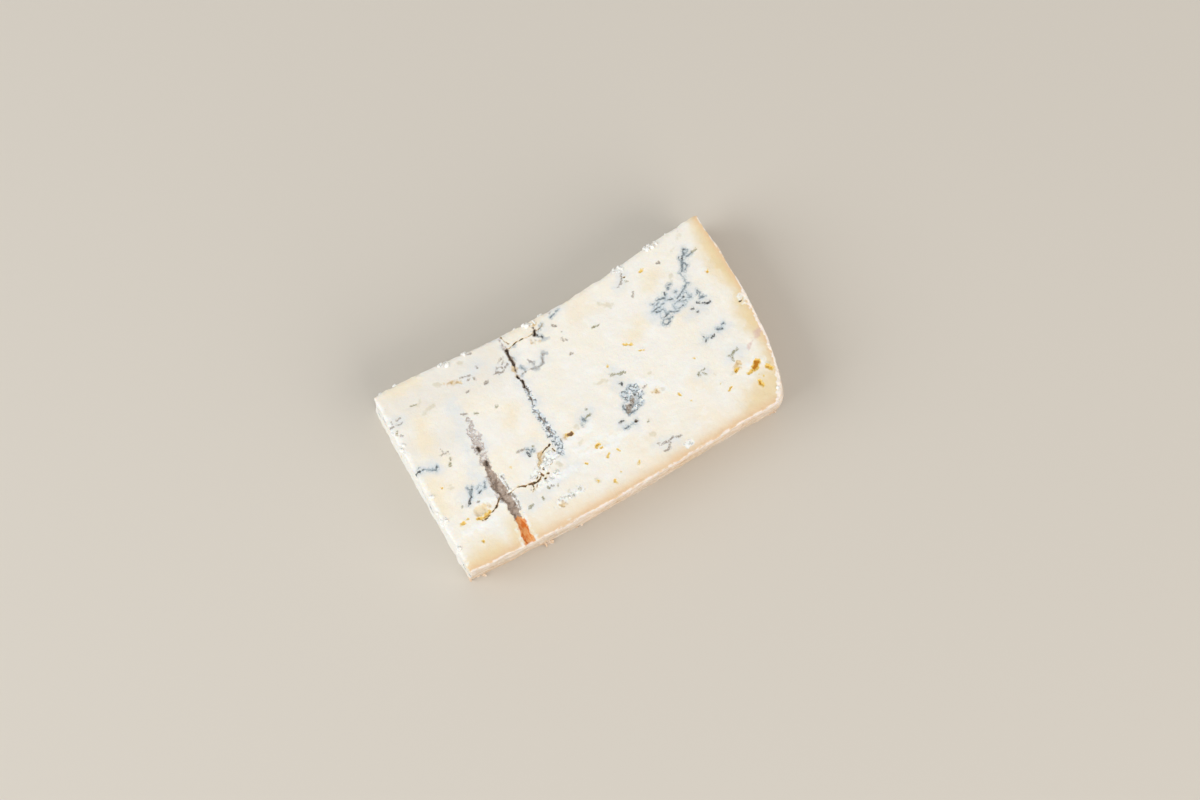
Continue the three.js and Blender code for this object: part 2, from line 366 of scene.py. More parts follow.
VEINS = (
    (0.48, (152.3, 78.2), (151.2, 79.3), (150.2, 78.4), (150.6, 77.2), (152.0, 77.8)),
    (0.82, (150.2, 77.4), (148.6, 76.3), (147.4, 74.7), (146.8, 73.2), (145.7, 71.5), (144.3, 70.6)),
    (0.41, (147.2, 77.2), (147.0, 76.2), (147.6, 75.0)),
    (0.62, (150.3, 75.9), (151.6, 75.8), (153.0, 76.1)),
    (0.54, (148.2, 74.0), (148.8, 72.4), (147.4, 71.2), (145.8, 70.4)),
    (0.54, (144.2, 70.8), (144.5, 69.4), (144.8, 67.8), (144.4, 65.8)),
    (0.54, (144.3, 65.4), (145.8, 64.6)),
    (0.54, (144.0, 65.0), (142.4, 64.0), (141.0, 62.8), (139.2, 61.9), (137.0, 61.4)),
    (0.36, (124.3, 61.3), (126.6, 61.7), (129.0, 61.9), (131.0, 62.4)),
    (0.48, (126.2, 64.3), (127.6, 64.5)),
    (0.41, (126.5, 63.1), (128.0, 63.2), (129.2, 63.8)),
    (0.48, (128.6, 65.1), (130.4, 64.9), (131.6, 64.5), (132.8, 64.1)),
    (0.48, (133.1, 64.6), (133.6, 66.4)),
    (0.54, (135.8, 66.9), (136.0, 68.2), (137.6, 68.3)),
    (0.48, (132.2, 63.4), (133.6, 62.6), (135.2, 62.1)),
    (0.61, (126.2, 60.3), (127.6, 59.8), (129.2, 60.2), (129.6, 58.6), (129.6, 57.2)),
    (0.61, (129.6, 57.0), (128.2, 56.3), (127.2, 57.0)),
    (0.48, (126.3, 54.6), (127.4, 55.6), (129.2, 55.2), (129.4, 53.8), (128.0, 52.9), (126.6, 53.6)),
    (0.36, (129.6, 54.4), (131.8, 55.2)),
    (0.54, (130.0, 57.1), (131.6, 57.4), (132.8, 57.0), (133.9, 56.4), (135.0, 56.3)),
    (0.54, (134.2, 57.4), (134.6, 59.2), (136.2, 60.0), (138.2, 60.1), (139.6, 60.4)),
    (0.54, (135.6, 57.0), (138.4, 57.2)),
    (0.48, (137.2, 59.6), (139.2, 59.0), (140.6, 58.6)),
    (0.54, (141.2, 59.2), (143.0, 58.4)),
    (0.41, (140.6, 61.8), (142.2, 61.6), (142.0, 60.4), (142.8, 59.4)),
    (0.48, (137.6, 64.1), (138.6, 63.8)),
    (0.41, (146.2, 58.8), (146.9, 59.8), (147.9, 58.8), (146.9, 58.0), (146.3, 57.2)),
    (0.61, (146.4, 56.6), (148.3, 56.3)),
    (0.48, (139.2, 38.9), (141.0, 39.2)),
    (0.61, (145.8, 40.4), (147.6, 39.7)),
    (0.42, (148.8, 41.4), (149.3, 41.4)),
    (0.54, (93.0, 31.0), (92.8, 29.4), (92.9, 28.4)),
    (0.48, (93.4, 26.2), (95.4, 26.4), (97.4, 27.4), (99.6, 28.0)),
    (0.48, (100.2, 29.6), (100.4, 28.0)),
    (0.48, (98.4, 29.3), (99.4, 29.0)),
    (0.54, (97.4, 36.2), (99.4, 37.0)),
    (0.54, (96.6, 34.6), (97.2, 35.4)),
    (0.41, (95.2, 31.8), (96.2, 32.4)),
    (0.48, (101.2, 31.9), (103.0, 31.4)),
    (0.48, (88.4, 21.9), (90.6, 22.0), (93.4, 22.2)),
    (0.7, (15.5, 28.8), (16.2, 30.6), (17.0, 31.3), (18.4, 32.6)),
    (0.7, (19.6, 28.6), (20.8, 29.0)),
    (0.7, (22.6, 29.4), (23.7, 31.3)),
    (0.4, (19.4, 30.6), (21.2, 31.4)),
    (0.38, (15.9, 32.9), (16.8, 31.8)),
    (0.5, (1.6, 49.5), (3.4, 49.1), (5.6, 48.0), (8.0, 46.4), (8.9, 47.8)),
    (0.38, (1.4, 50.8), (2.3, 51.1)),
    (0.48, (46.3, 35.0), (47.6, 34.2)),
    (0.85, (48.8, 32.8), (49.3, 33.0)),
    (0.41, (47.4, 33.2), (48.6, 33.8)),
    (0.61, (74.6, 35.2), (75.2, 33.4)),
    (0.41, (72.6, 33.2), (73.3, 32.4)),
    (0.48, (84.8, 81.4), (87.4, 82.4), (88.6, 82.6)),
    (0.5, (78.2, 79.8), (79.6, 80.4)),
    (0.36, (62.2, 67.9), (63.4, 66.4)),
)
DARK_MARKS = (
    (0.9, (75.0, 78.0), (75.8, 76.4), (76.8, 75.4)),
    (0.6, (67.6, 67.0), (68.0, 66.7)),
    (1.05, (140.1, 60.5), (140.5, 60.2)),
    (0.64, (144.1, 55.2), (146.0, 54.3), (147.6, 53.2), (149.0, 52.8)),
    (1.0, (140.4, 54.0), (141.0, 53.8)),
    (1.25, (142.2, 51.5), (142.7, 51.2)),
    (0.72, (138.6, 41.0), (138.9, 40.2)),
    (0.88, (138.4, 38.0), (139.2, 38.8)),
    (0.96, (141.8, 38.4), (143.6, 38.8)),
    (1.1, (95.4, 30.3), (96.4, 28.9)),
    (1.5, (99.4, 34.6), (100.0, 33.0)),
    (0.72, (94.6, 35.6), (95.4, 34.0)),
    (0.64, (100.8, 36.0), (102.0, 35.2), (102.6, 33.9)),
    (0.8, (87.8, 25.2), (89.6, 25.4)),
    (0.66, (96.2, 40.4), (97.6, 40.3), (96.8, 39.2)),
    (0.95, (12.7, 26.1), (13.6, 26.4), (14.6, 27.6), (15.5, 28.8)),
    (1.3, (-0.9, 48.5), (0.4, 49.2), (1.6, 49.5)),
    (0.8, (46.2, 33.6), (46.4, 32.0)),
    (1.5, (94.0, 22.5), (94.4, 22.3)),
)
GREY_CORES = (
    (3.0, (94.4, 28.2), (95.2, 29.8)),
    (2.0, (97.2, 31.0), (98.8, 34.4)),
    (1.3, (44.8, 69.4), (46.0, 69.6)),
    (1.2, (36.2, 70.0), (37.0, 70.1)),
    (1.3, (83.6, 77.6), (84.4, 77.0)),
    (0.8, (84.6, 73.2), (85.3, 73.4)),
    (0.8, (84.2, 62.8), (84.8, 62.4)),
    (0.8, (137.5, 79.7), (138.1, 79.2)),
    (1.0, (84.6, 83.4), (85.6, 83.2)),
)
BROWN_THREADS = (
    (0.5, (66.3, 69.5), (67.2, 68.0), (67.8, 67.0)),
    (0.5, (50.8, 71.0), (52.0, 71.6), (53.2, 70.2), (55.2, 71.1), (57.2, 72.0), (58.0, 72.6)),
    (0.4, (53.0, 73.0), (54.6, 72.4)),
    (0.5, (54.2, 74.9), (56.0, 75.4), (57.6, 76.2)),
    (0.4, (55.4, 73.4), (56.6, 74.8)),
    (0.4, (38.2, 74.6), (40.0, 74.5)),
    (0.4, (45.0, 78.2), (45.6, 77.2)),
    (0.5, (36.2, 77.0), (38.6, 76.6), (40.9, 75.8)),
    (1.3, (84.0, 69.4), (84.6, 70.2)),
    (0.8, (85.2, 69.8), (85.8, 69.0)),
    (0.5, (117.2, 78.6), (119.2, 79.8), (120.6, 81.4), (121.2, 83.2)),
    (0.5, (120.4, 71.2), (121.6, 73.0)),
    (0.3, (61.8, 65.4), (65.0, 65.2), (67.6, 65.0), (69.8, 64.3), (71.4, 65.4)),
    (0.4, (-0.6, 72.2), (1.4, 72.4), (3.4, 72.1), (5.0, 72.0)),
    (0.85, (3.4, 74.2), (4.8, 74.4)),
    (0.36, (0.8, 74.6), (1.2, 73.4)),
    (0.6, (97.9, 9.4), (98.3, 8.3), (100.0, 7.8), (102.8, 7.6), (105.3, 8.4)),
    (0.6, (106.2, 7.9), (108.1, 7.3)),
    (0.6, (98.6, 4.8), (100.3, 4.5), (101.8, 5.2), (102.7, 6.8)),
    (0.6, (29.2, 62.6), (30.6, 62.2), (31.8, 61.5)),
    (0.5, (41.8, 35.8), (43.5, 36.2), (45.5, 35.5)),
    (0.35, (31.7, 30.0), (32.0, 27.0), (31.7, 24.0)),
    (0.3, (31.8, 21.0), (32.3, 17.4), (31.9, 13.4)),
    (0.5, (40.2, 19.6), (39.6, 18.2)),
    (0.8, (48.9, 15.6)),
    (0.7, (42.2, 73.6)),
    (0.5, (12.6, 51.3), (15.0, 50.9), (16.6, 51.0)),
    (0.45, (14.2, 53.6), (14.4, 51.2)),
    (0.5, (15.4, 51.2), (16.2, 50.0)),
    (0.6, (1.7, 67.3), (2.5, 66.8)),
    (0.9, (104.4, 34.0), (106.0, 34.1)),
    (0.4, (17.0, 25.2), (17.6, 25.0)),
    (2.0, (94.2, 28.2), (95.0, 29.6)),
    (1.4, (97.2, 31.0), (98.6, 34.0)),
    (0.9, (44.4, 84.8), (45.6, 84.6)),
    (0.15, (71.4, 65.4), (72.6, 67.2), (73.6, 69.0), (74.6, 67.9)),
)
FAINT_MARKS = (
    (1.0, (146.4, 81.4), (148.6, 82.2), (150.5, 84.8), (152.6, 86.8)),
    (1.6, (15.7, 71.0), (20.0, 72.0)),
    (0.9, (24.6, 80.2), (28.8, 78.5)),
    (1.2, (140.2, 71.2), (138.2, 69.0)),
    (1.2, (68.0, 26.2), (69.6, 26.4)),
    (1.1, (66.4, 8.4), (67.6, 6.8)),
    (1.0, (109.4, 38.0), (111.0, 38.8)),
    (1.2, (97.0, 14.2), (98.2, 13.6)),
    (1.4, (55.6, 23.4), (56.8, 21.6)),
    (1.0, (86.6, 45.8), (92.0, 44.6)),
    (1.4, (9.8, 36.6), (11.2, 36.2)),
    (1.6, (106.0, 76.0), (110.0, 73.0)),
    (1.0, (141.5, 20.0), (142.0, 20.0)),
    (1.6, (157.4, 17.0)),
    (1.5, (70.0, 33.0), (70.5, 33.0)),
    (0.9, (53.8, 10.0)),
    (0.9, (112.0, 29.1)),
    (0.8, (134.7, 23.5)),
    (1.5, (15.6, 76.0), (16.0, 75.9)),
    (0.8, (38.0, 59.2)),
    (1.0, (38.6, 83.3), (39.6, 83.0)),
)
SMEARS = (
    (1.2, (62.2, 68.2), (63.6, 66.2)),
    (1.0, (66.6, 69.4), (67.8, 66.8)),
    (1.3, (66.4, 65.0), (69.4, 64.2), (71.6, 65.6)),
    (1.3, (72.8, 67.2), (73.8, 69.2), (75.2, 67.8)),
    (1.0, (61.4, 65.2), (64.0, 65.2)),
    (1.2, (76.8, 74.4), (79.2, 74.0)),
    (1.2, (75.0, 77.0), (77.6, 75.6)),
    (1.0, (76.5, 78.8), (79.5, 80.3)),
    (1.0, (73.6, 75.6), (74.8, 75.2)),
    (1.0, (73.4, 79.2), (74.6, 78.6)),
    (0.9, (63.4, 77.6), (64.4, 77.4)),
    (0.8, (61.4, 72.6), (61.7, 71.6)),
    (3.0, (99.2, 29.5), (101.4, 34.5)),
    (2.4, (96.5, 33.5), (100.0, 36.6)),
)
BLOOMS = (
    (12.0, (127.5, 60.5), (133.0, 60.5), (141.0, 60.5)),
    (4.5, (145.0, 68.0), (147.5, 73.5), (151.0, 78.0)),
    (4.5, (147.0, 57.0), (147.0, 54.0)),
    (5.0, (59.3, 48.0), (59.4, 26.0)),
    (5.0, (62.5, 66.5), (68.0, 66.5), (73.5, 67.0)),
    (4.5, (62.5, 74.0), (61.8, 66.5)),
    (9.0, (95.5, 28.5), (99.5, 35.0)),
    (4.5, (88.0, 23.5), (94.0, 22.0)),
    (9.0, (15.0, 29.0), (22.0, 30.5)),
    (7.0, (0.0, 49.5), (8.0, 48.0)),
    (3.0, (24.2, 56.0), (24.2, 36.0)),
    (6.0, (22.0, 37.0), (24.5, 26.0)),
    (5.0, (60.0, 84.0), (59.4, 50.0)),
    (4.5, (95.0, 38.0), (97.0, 46.0)),
    (5.0, (137.0, 52.0), (146.0, 52.0)),
    (3.0, (36.0, 12.0), (44.0, 12.5)),
    (4.5, (0.0, 73.0), (5.0, 73.0)),
    (6.0, (27.5, 68.0), (28.5, 58.0), (29.5, 46.0)),
    (4.0, (33.0, 17.0), (46.0, 15.8), (62.0, 17.8)),
    (5.0, (47.0, 33.5), (50.0, 34.5)),
    (4.5, (75.0, 34.5), (79.0, 36.5)),
    (5.0, (139.0, 39.5), (149.0, 40.0)),
    (4.5, (144.0, 27.0), (149.0, 27.5)),
    (4.0, (128.5, 26.5), (132.0, 26.8)),
    (4.0, (53.0, 72.0), (58.0, 73.0)),
    (4.0, (76.5, 77.0), (80.0, 79.5)),
    (4.0, (85.0, 82.8), (89.0, 82.6)),
    (4.0, (98.0, 8.0), (106.0, 7.0)),
    (5.0, (38.0, 75.5), (46.0, 78.0)),
    (5.0, (117.0, 79.5), (121.0, 82.0)),
)
CRUMBLY_PASTE = (
    (5.4, (50.0, 26.6), (57.0, 27.2)),
    (2.6, (43.0, 22.6), (48.0, 25.6)),
    (2.4, (44.0, 18.6), (53.0, 19.6)),
    (3.2, (48.0, 7.2), (58.0, 8.4)),
    (1.6, (108.4, 2.8), (110.4, 2.4)),
    (1.2, (161.6, 48.2), (162.6, 45.2)),
    (2.0, (31.6, 30.0), (31.8, 14.0)),
)
BLUSHES = (
    (1.0, (153.4, 26.4), (155.4, 27.8), (158.8, 29.2)),
    (2.0, (159.6, 30.2), (162.0, 31.4)),
)
WHITE_PATCHES_AND_LIT_EDGE = (
    (1.4, (32.4, 30.0), (32.6, 22.0)),
    (1.4, (32.0, 11.0), (31.8, 6.0), (31.6, -3.0)),
    (0.9, (48.9, 3.6), (47.6, -0.6)),
    (1.6, (26.0, 6.0), (25.6, -2.0)),
    (3.0, (66.0, 21.0), (82.0, 18.0)),
    (3.4, (80.0, 20.6), (90.0, 20.0)),
    (3.4, (6.0, 16.0), (21.0, 15.6)),
    (3.0, (18.0, 25.0), (25.0, 23.0)),
    (5.0, (104.0, 38.0), (112.0, 30.0)),
    (4.0, (64.0, 29.0), (76.0, 30.5)),
    (3.6, (44.0, 18.0), (61.0, 17.5)),
    (3.0, (52.0, 27.0), (56.5, 27.4)),
    (2.4, (64.0, 24.0), (80.0, 24.0)),
    (3.0, (150.0, 20.5), (156.0, 18.0)),
    # Along the heart's cut edge: whiter paste, partly crumbly and partly a painted highlight where the light
    # from the left catches the edge
    (2.2, (-0.6, 86.0), (-0.2, 60.0), (-0.2, 30.0), (0.2, 4.0)),
)
RIPE_PASTE = (
    (12.0, (2.0, 1.0), (14.0, 3.0)),
    (8.0, (25.5, -1.0), (26.0, 8.0)),
    (5.0, (31.5, -1.0), (31.5, 5.0)),
    (14.0, (146.0, 4.0), (154.0, 8.0)),
    (4.0, (157.0, 12.0), (159.0, 18.0)),
)
# Tan paste along the outer rind, partly its own ripening and partly painted shade of a bevelled facet along
# that edge
TAN_AND_SHADED_FLANK = (
    (12.0, (171.5, 29.0), (168.5, 37.0), (168.5, 42.0), (172.0, 47.0)),
    (12.0, (173.0, 55.0), (170.5, 62.0), (168.0, 68.0), (168.5, 74.0), (171.0, 80.0), (172.0, 92.0)),
)
# Raised scales along the outer rind's top edge, coloured as the lip's painted highlight
LIT_LIP_SCALES = (
    (1.7, (152.6, -0.6), (155.2, 3.0), (158.0, 8.0), (160.4, 13.6), (161.8, 20.0)),
    (1.5, (161.8, 20.0), (162.9, 27.0), (163.7, 36.0), (164.2, 43.0), (164.5, 50.0)),
)
WARM_PASTE = (
    (9.0, (2.0, 31.0), (3.5, 43.0)),
    (7.0, (9.0, 58.0), (11.5, 67.0)),
    (6.0, (7.0, 86.5), (18.0, 86.0)),
    (6.0, (45.5, 48.0), (49.0, 53.0)),
    (6.0, (113.0, 56.0), (117.0, 60.0)),
    (6.0, (128.5, 72.0), (133.0, 75.0)),
)
# Painted shade: broad strokes that darken and grey the paste at the heart's upper corner, standing in for
# weaker light there
PAINTED_CORNER_SHADE = (
    (26.0, (8.0, 80.0), (48.0, 76.0)),
    (14.0, (4.0, 60.0), (22.0, 56.0)),
)
HOLLOW = (
    (5.0, (15.4, 21.4), (17.6, 21.6)),
)
KINDS = {
    "channel": Kind(CHANNEL, depth=1.1, slope=0.8, ragged=0.9),
    "orange": Kind(ORANGE, depth=0.0, slope=1.0, ragged=0.9),
    "fissure": Kind(FISSURES, depth=1.4, slope=0.5, ragged=0.45),
    "speckle": Kind(SPECKLES, depth=0.3, slope=1.0, ragged=1.2),
    "scar": Kind(SCARS, depth=0.35, slope=0.8, ragged=1.6),
    "crack": Kind(CRACKS, depth=0.6, slope=0.3, ragged=0.35),
    "tan": Kind(TAN_STAINS, depth=0.2, slope=0.8, ragged=1.2),
    "ochre": Kind(OCHRE_PITS, depth=0.45, slope=0.6, ragged=0.9),
    "olive": Kind(OLIVE_MARKS, depth=0.15, slope=0.3, ragged=0.6),
    "vein": Kind(VEINS, depth=0.15, slope=0.25, ragged=0.45),
    "dark": Kind(DARK_MARKS, depth=0.3, slope=0.3, ragged=0.5),
    "core": Kind(GREY_CORES, depth=0.3, slope=0.5, ragged=1.0),
    "thread": Kind(BROWN_THREADS, depth=0.12, slope=0.25, ragged=0.55),
    "faint": Kind(FAINT_MARKS, depth=0.0, slope=0.8, ragged=1.5),
    "smear": Kind(SMEARS, depth=0.0, slope=1.0, ragged=1.2),
    "bloom": Kind(BLOOMS, depth=0.0, slope=1.0, ragged=2.0),
    "crumbly": Kind(CRUMBLY_PASTE, depth=-0.3, slope=0.8, ragged=1.6),
    "blush": Kind(BLUSHES, depth=0.0, slope=1.0, ragged=1.0),
    "white": Kind(WHITE_PATCHES_AND_LIT_EDGE, depth=-0.16, slope=1.2, ragged=2.0),
    "ripe": Kind(RIPE_PASTE, depth=0.0, slope=1.0, ragged=2.0),
    "flank": Kind(TAN_AND_SHADED_FLANK, depth=0.0, slope=1.0, ragged=2.0),
    "lip": Kind(LIT_LIP_SCALES, depth=-0.3, slope=0.7, ragged=1.0),
    "warmth": Kind(WARM_PASTE, depth=0.0, slope=1.0, ragged=2.0),
    "dull": Kind(PAINTED_CORNER_SHADE, depth=0.0, slope=1.0, ragged=2.0),
    "hollow": Kind(HOLLOW, depth=0.9, slope=1.6, ragged=0.6),
}
FACE_STROKES = {name: kind.strokes for name, kind in KINDS.items()}

# Kinds whose edges are sharp enough to need a fine mesh
SHARP_KINDS = (
    "channel",
    "fissure",
    "scar",
    "crack",
    "tan",
    "ochre",
    "olive",
    "vein",
    "dark",
    "core",
    "thread",
    "crumbly",
    "lip",
)

# Where loose crumbs of paste sit, most of them along the cut edges, and flakes of rind along the foot
CRUMB_SPOTS = (
    (2.2, (31.8, 87.3)),
    (1.6, (33.8, 86.6)),
    (2.0, (44.0, 85.6)),
    (3.0, (73.8, 84.3), (76.5, 84.3)),
    (2.0, (119.0, 86.0)),
    (2.2, (121.5, 86.6)),
    (2.4, (137.3, 88.0)),
    (2.0, (140.6, 88.6)),
    (2.0, (-0.8, 61.5)),
    (2.0, (-0.4, 37.0)),
    (2.0, (-0.4, 28.5)),
    (2.4, (0.0, 24.5)),
    (2.0, (0.0, 12.0)),
    (1.2, (155.4, 3.6), (156.0, 4.4)),
    (2.0, (48.0, 24.0), (52.0, 26.0)),
)
FLAKE_SPOTS = (
    (4.0, (35.5, -2.0), (39.5, -2.0)),
    (3.0, (42.0, -2.0), (45.0, -2.0)),
    (3.0, (50.5, -2.4), (53.0, -2.4)),
    (2.0, (1.0, 0.0), (4.0, -0.6)),
    (2.0, (152.6, -0.9)),
)


def srgb(red, green, blue):
    """Linear colour from the 0 to 255 values that a picture shows."""
    channels = np.array([red, green, blue]) / 255
    linear = np.where(channels <= 0.04045, channels / 12.92, ((channels + 0.055) / 1.055) ** 2.4)
    return (*linear.tolist(), 1.0)


def colour(name, description, red, green, blue):
    """Colour property with its default."""
    return FloatVectorProperty(
        name=name,
        description=description,
        subtype="COLOR",
        size=4,
        min=0.0,
        max=1.0,
        default=srgb(red, green, blue),
    )


def number(name, description, default, **kind):
    """Number property with its default and what kind of number it is."""
    return FloatProperty(name=name, description=description, default=default, **kind)


def length(name, description, millimetres):
    """Length property with its default."""
    return number(name, description, millimetres * MM, unit="LENGTH", precision=5)


def angle(name, description, degrees):
    """Angle property with its default."""
    return number(name, description, math.radians(degrees), unit="ROTATION")


def fraction(name, description, default):
    """Property from 0 to 1 with its default."""
    return number(name, description, default, subtype="FACTOR", min=0.0, max=1.0)


def whole(name, description, default):
    """Whole number property with its default."""
    return IntProperty(name=name, description=description, default=default)


class BlockSizes(PropertyGroup):
    """Mesh and relief sizes of the block."""

    pitch: length("Pitch", "Distance between mesh points on plain paste", 0.85)
    fine_pitch: length("Fine pitch", "Distance between mesh points beside veins, cracks and pits", 0.26)
    rim_pitch: length("Rim pitch", "Distance between mesh points along the edges", 0.52)
    wall_rows: whole("Wall rows", "Rows of mesh from the top edge to the foot", 44)
    swell: length("Swell", "Height of the slow swells on the top face", 0.35)
    grain: length("Grain", "Height of the fine crumb on the top face", 0.05)
    edge_wear: length("Edge wear", "How far the cut edges are rounded down", 0.45)
    lip: length("Lip", "Height of the rind's ridge along the top edge", 0.3)
    cut_crumble: length("Cut crumble", "Roughness of the cut walls", 0.3)
    rind_wrinkle: length("Rind wrinkle", "Roughness of the rind", 0.45)
    seed: whole("Seed", "Seed of all the random marks", 11)


class PasteColours(PropertyGroup):
    """Colours of the paste, its marks and the rind."""

    white: colour("White paste", "Paste between the veins", 243, 239, 230)
    cream: colour("Cream paste", "Most of the paste", 244, 238, 225)
    warm: colour("Warm paste", "Riper patches of paste", 243, 233, 214)
    # Painted shade for the heart's upper corner, not a colour of the paste itself
    dull: colour("Painted corner shade", "Greyer paste at the heart's upper corner", 233, 228, 218)
    yellow: colour("Yellow paste", "Yellowest patches of paste", 243, 230, 204)
    # Also lays the tan flank by the outer rind, which is partly painted shade of a bevelled facet
    ripe: colour("Ripe corners", "Yellow paste in the corners by the rind", 234, 212, 166)
    under_rind: colour("Under the rind", "Paste within a finger's width of the rind", 237, 222, 197)
    rind_edge: colour("Rind edge", "Paste where it meets the rind", 232, 199, 158)
    # Also whitens the heart's cut edge, partly as a painted highlight
    crumb: colour("Broken paste", "Freshly broken crumbly paste", 245, 246, 243)
    crumb_gap: colour("Crumb gaps", "Shaded gaps between the crumbs", 190, 182, 156)
    bloom: colour("Bloom", "Cool cast around the veins", 228, 230, 229)
    haze: colour("Haze", "Grey haze around single veins", 214, 216, 213)
    smear: colour("Smear", "Grey-blue mould just under the surface", 178, 184, 188)
    bloom_blue: colour("Blue bloom", "Pale blue mould around the veins", 214, 223, 228)
    wash: colour("Wash", "Blue mould close to the veins", 173, 185, 190)
    vein: colour("Vein", "Blue mould in the veins", 127, 136, 141)
    vein_dark: colour("Dark vein", "Thick mould in holes", 83, 85, 84)
    blush: colour("Blush", "Mauve stain", 218, 186, 176)
    thread: colour("Thread", "Grey-brown mould in fine threads", 149, 134, 119)
    olive: colour("Olive mould", "Green-brown mould", 138, 132, 88)
    faint: colour("Faint mould", "Mould deep in the paste", 196, 186, 150)
    ochre: colour("Ochre", "Floor of the deep pits", 189, 121, 3)
    ochre_pale: colour("Pale ochre", "Floor of the shallow pits", 235, 198, 88)
    hollow: colour("Hollow", "Floor of the large hollow", 232, 212, 172)
    # Partly painted shade: the fissure's inside is darkened beyond its own grey-brown, as shade deep in the
    # slit
    slit: colour("Slit", "Dark inside of the long fissure", 94, 83, 72)
    # Partly painted shade: the cracks' floor is darkened beyond its own brown, as shade deep in the narrow
    # cracks
    crack: colour("Crack", "Floor of the cracks", 88, 70, 46)
    crack_pale: colour("Pale crack", "Shallow stretches of the cracks", 150, 112, 72)
    tan: colour("Tan", "Sides of the cracks and stains", 226, 200, 150)
    tan_dark: colour("Brown stain", "Middle of the stains", 196, 160, 98)
    scar: colour("Scar", "Brown folds where a needle channel closed", 180, 155, 141)
    scar_pale: colour("Pale scar", "Paste between the folds", 228, 221, 215)
    channel: colour("Needle channel", "Dry floor of the needle channel", 183, 165, 150)
    channel_dark: colour("Channel shade", "Darker streaks in the needle channel", 141, 122, 108)
    channel_pale: colour("Channel crumbs", "Pale crumbs in the needle channel", 206, 194, 184)
    orange: colour("Channel mouth", "Orange smear where the needle went through the rind", 216, 116, 32)
    orange_pale: colour("Pale mouth", "Lighter part of the orange smear", 231, 166, 102)
    rind: colour("Rind", "Dry tan rind", 226, 198, 166)
    rind_grey: colour("Grey rind", "Greyer patches of rind", 216, 196, 172)
    rind_pale: colour("Rind bloom", "White-pink bloom on the rind", 245, 232, 220)
    rind_dark: colour("Rind creases", "Creases and pits in the rind", 178, 140, 104)
    # Painted highlight: the pale line where the rind's top edge catches the light
    lip: colour("Lip", "White-pink lip along the rind's top edge", 248, 238, 230)


class CrumbSizes(PropertyGroup):
    """Sizes of the loose crumbs and flakes."""

    smallest: length("Smallest", "Radius of the smallest crumb", 0.2)
    largest: length("Largest", "Radius of the largest crumb", 1.3)
    flatness: fraction("Flatness", "Height of a crumb against its width", 0.75)
    density: number("Density", "Crumbs on a square millimetre of a full spot", 0.7)
    flake_smallest: length("Smallest flake", "Radius of the smallest flake of rind", 0.5)
    flake_largest: length("Largest flake", "Radius of the largest flake of rind", 2.4)
    flake_flatness: fraction("Flake flatness", "Height of a flake against its width", 0.25)
    flake_density: number("Flake density", "Flakes on a square millimetre of a full spot", 0.4)
    seed: whole("Seed", "Seed of the places and sizes", 5)


class StageSettings(PropertyGroup):
    """Floor, light and camera."""

    floor: colour("Floor", "Plain pale floor", 208, 201, 190)
    floor_size: length("Floor size", "Side of the square floor", 3000.0)
    key_power: number("Key power", "Power of the large soft light", 32.0, unit="POWER")
    fill_power: number("Fill power", "Power of the soft light from the front", 34.0, unit="POWER")
    sky: number("Sky", "Strength of the even light from all round", 0.54)
    lens: number("Lens", "Focal length", 45.0, unit="CAMERA")
    azimuth: angle("Azimuth", "Where the camera stands round the block", -29.446)
    elevation: angle("Elevation", "How high the camera stands above the floor", 80.0)
    distance: length("Distance", "From the aim to the camera", 669.0)


def hashed(cells, seed):
    """A fixed random number from -1 to 1 for each whole-numbered cell."""
    mixed = np.bitwise_xor.reduce(cells * CELL_FACTORS, axis=1) ^ seed * SEED_FACTOR
    for shift, factor in SCRAMBLES:
        mixed = (mixed ^ (mixed >> shift)) * factor & LOW_BITS
    return (mixed ^ (mixed >> LAST_SHIFT)) / HALF_RANGE - 1


def lumps(points, spacing, seed):
    """Smooth noise from -1 to 1 at points in millimetres, with lumps about one spacing apart."""
    scaled = points / spacing
    cells = np.floor(scaled).astype(np.int64)
    part = scaled - cells
    part = part * part * (3 - 2 * part)
    total = np.zeros(len(points))
    for corner in itertools.product((0, 1), repeat=3):
        share = np.prod(np.where(corner, part, 1 - part), axis=1)
        total += share * hashed(cells + np.array(corner), seed)
    return total


def layered(points, layers):
    """Several layers of lumps on top of each other."""
    return sum(layer.height * lumps(points, layer.spacing, layer.seed) for layer in layers)


def smooth_step(value):
    """Eased rise from 0 to 1."""
    value = np.clip(value, 0, 1)
    return value * value * (3 - 2 * value)


def flat_points(places, level=0.0):
    """Places on the top face as points with a third coordinate."""
    return np.column_stack([places, np.full(len(places), level)])


def side_points(side, share):
    """Places along a side at the given shares of its length."""
    start, end = np.array(side.start), np.array(side.end)
    skewed = share**side.skew
    hump = (4 * skewed * (1 - skewed)) ** side.steep
    return start + np.outer(share, end - start) + np.outer(side.bow * hump, side.outward)


def edge_gaps(places):
    """Distances inwards from the four sides in millimetres, one column for each side."""
    share = np.linspace(0, 1, SIDE_SAMPLES)
    columns = []
    for side in SIDES:
        line = side_points(side, share)
        facing = 0 if side.outward[0] else 1
        along = 1 - facing
        order = np.argsort(line[:, along])
        edge = np.interp(places[:, along], line[order, along], line[order, facing])
        columns.append((edge - places[:, facing]) * side.outward[facing])
    return np.stack(columns, axis=1)


def rind_gap(gaps):
    """Distance from the nearer rind, stretched by the outer one, whose colour reaches less far in."""
    low, outer, _, _ = gaps.T
    return np.minimum(low, OUTER_FADE * outer)


def face_from_rind(places):
    """Distance from the nearer rind on the top face or the foot, up to far away."""
    return np.clip(rind_gap(edge_gaps(places)), 0, FAR)


def cut_gap(gaps):
    """Distance from the nearer cut wall."""
    return np.min(gaps[:, [not side.rind for side in SIDES]], axis=1)


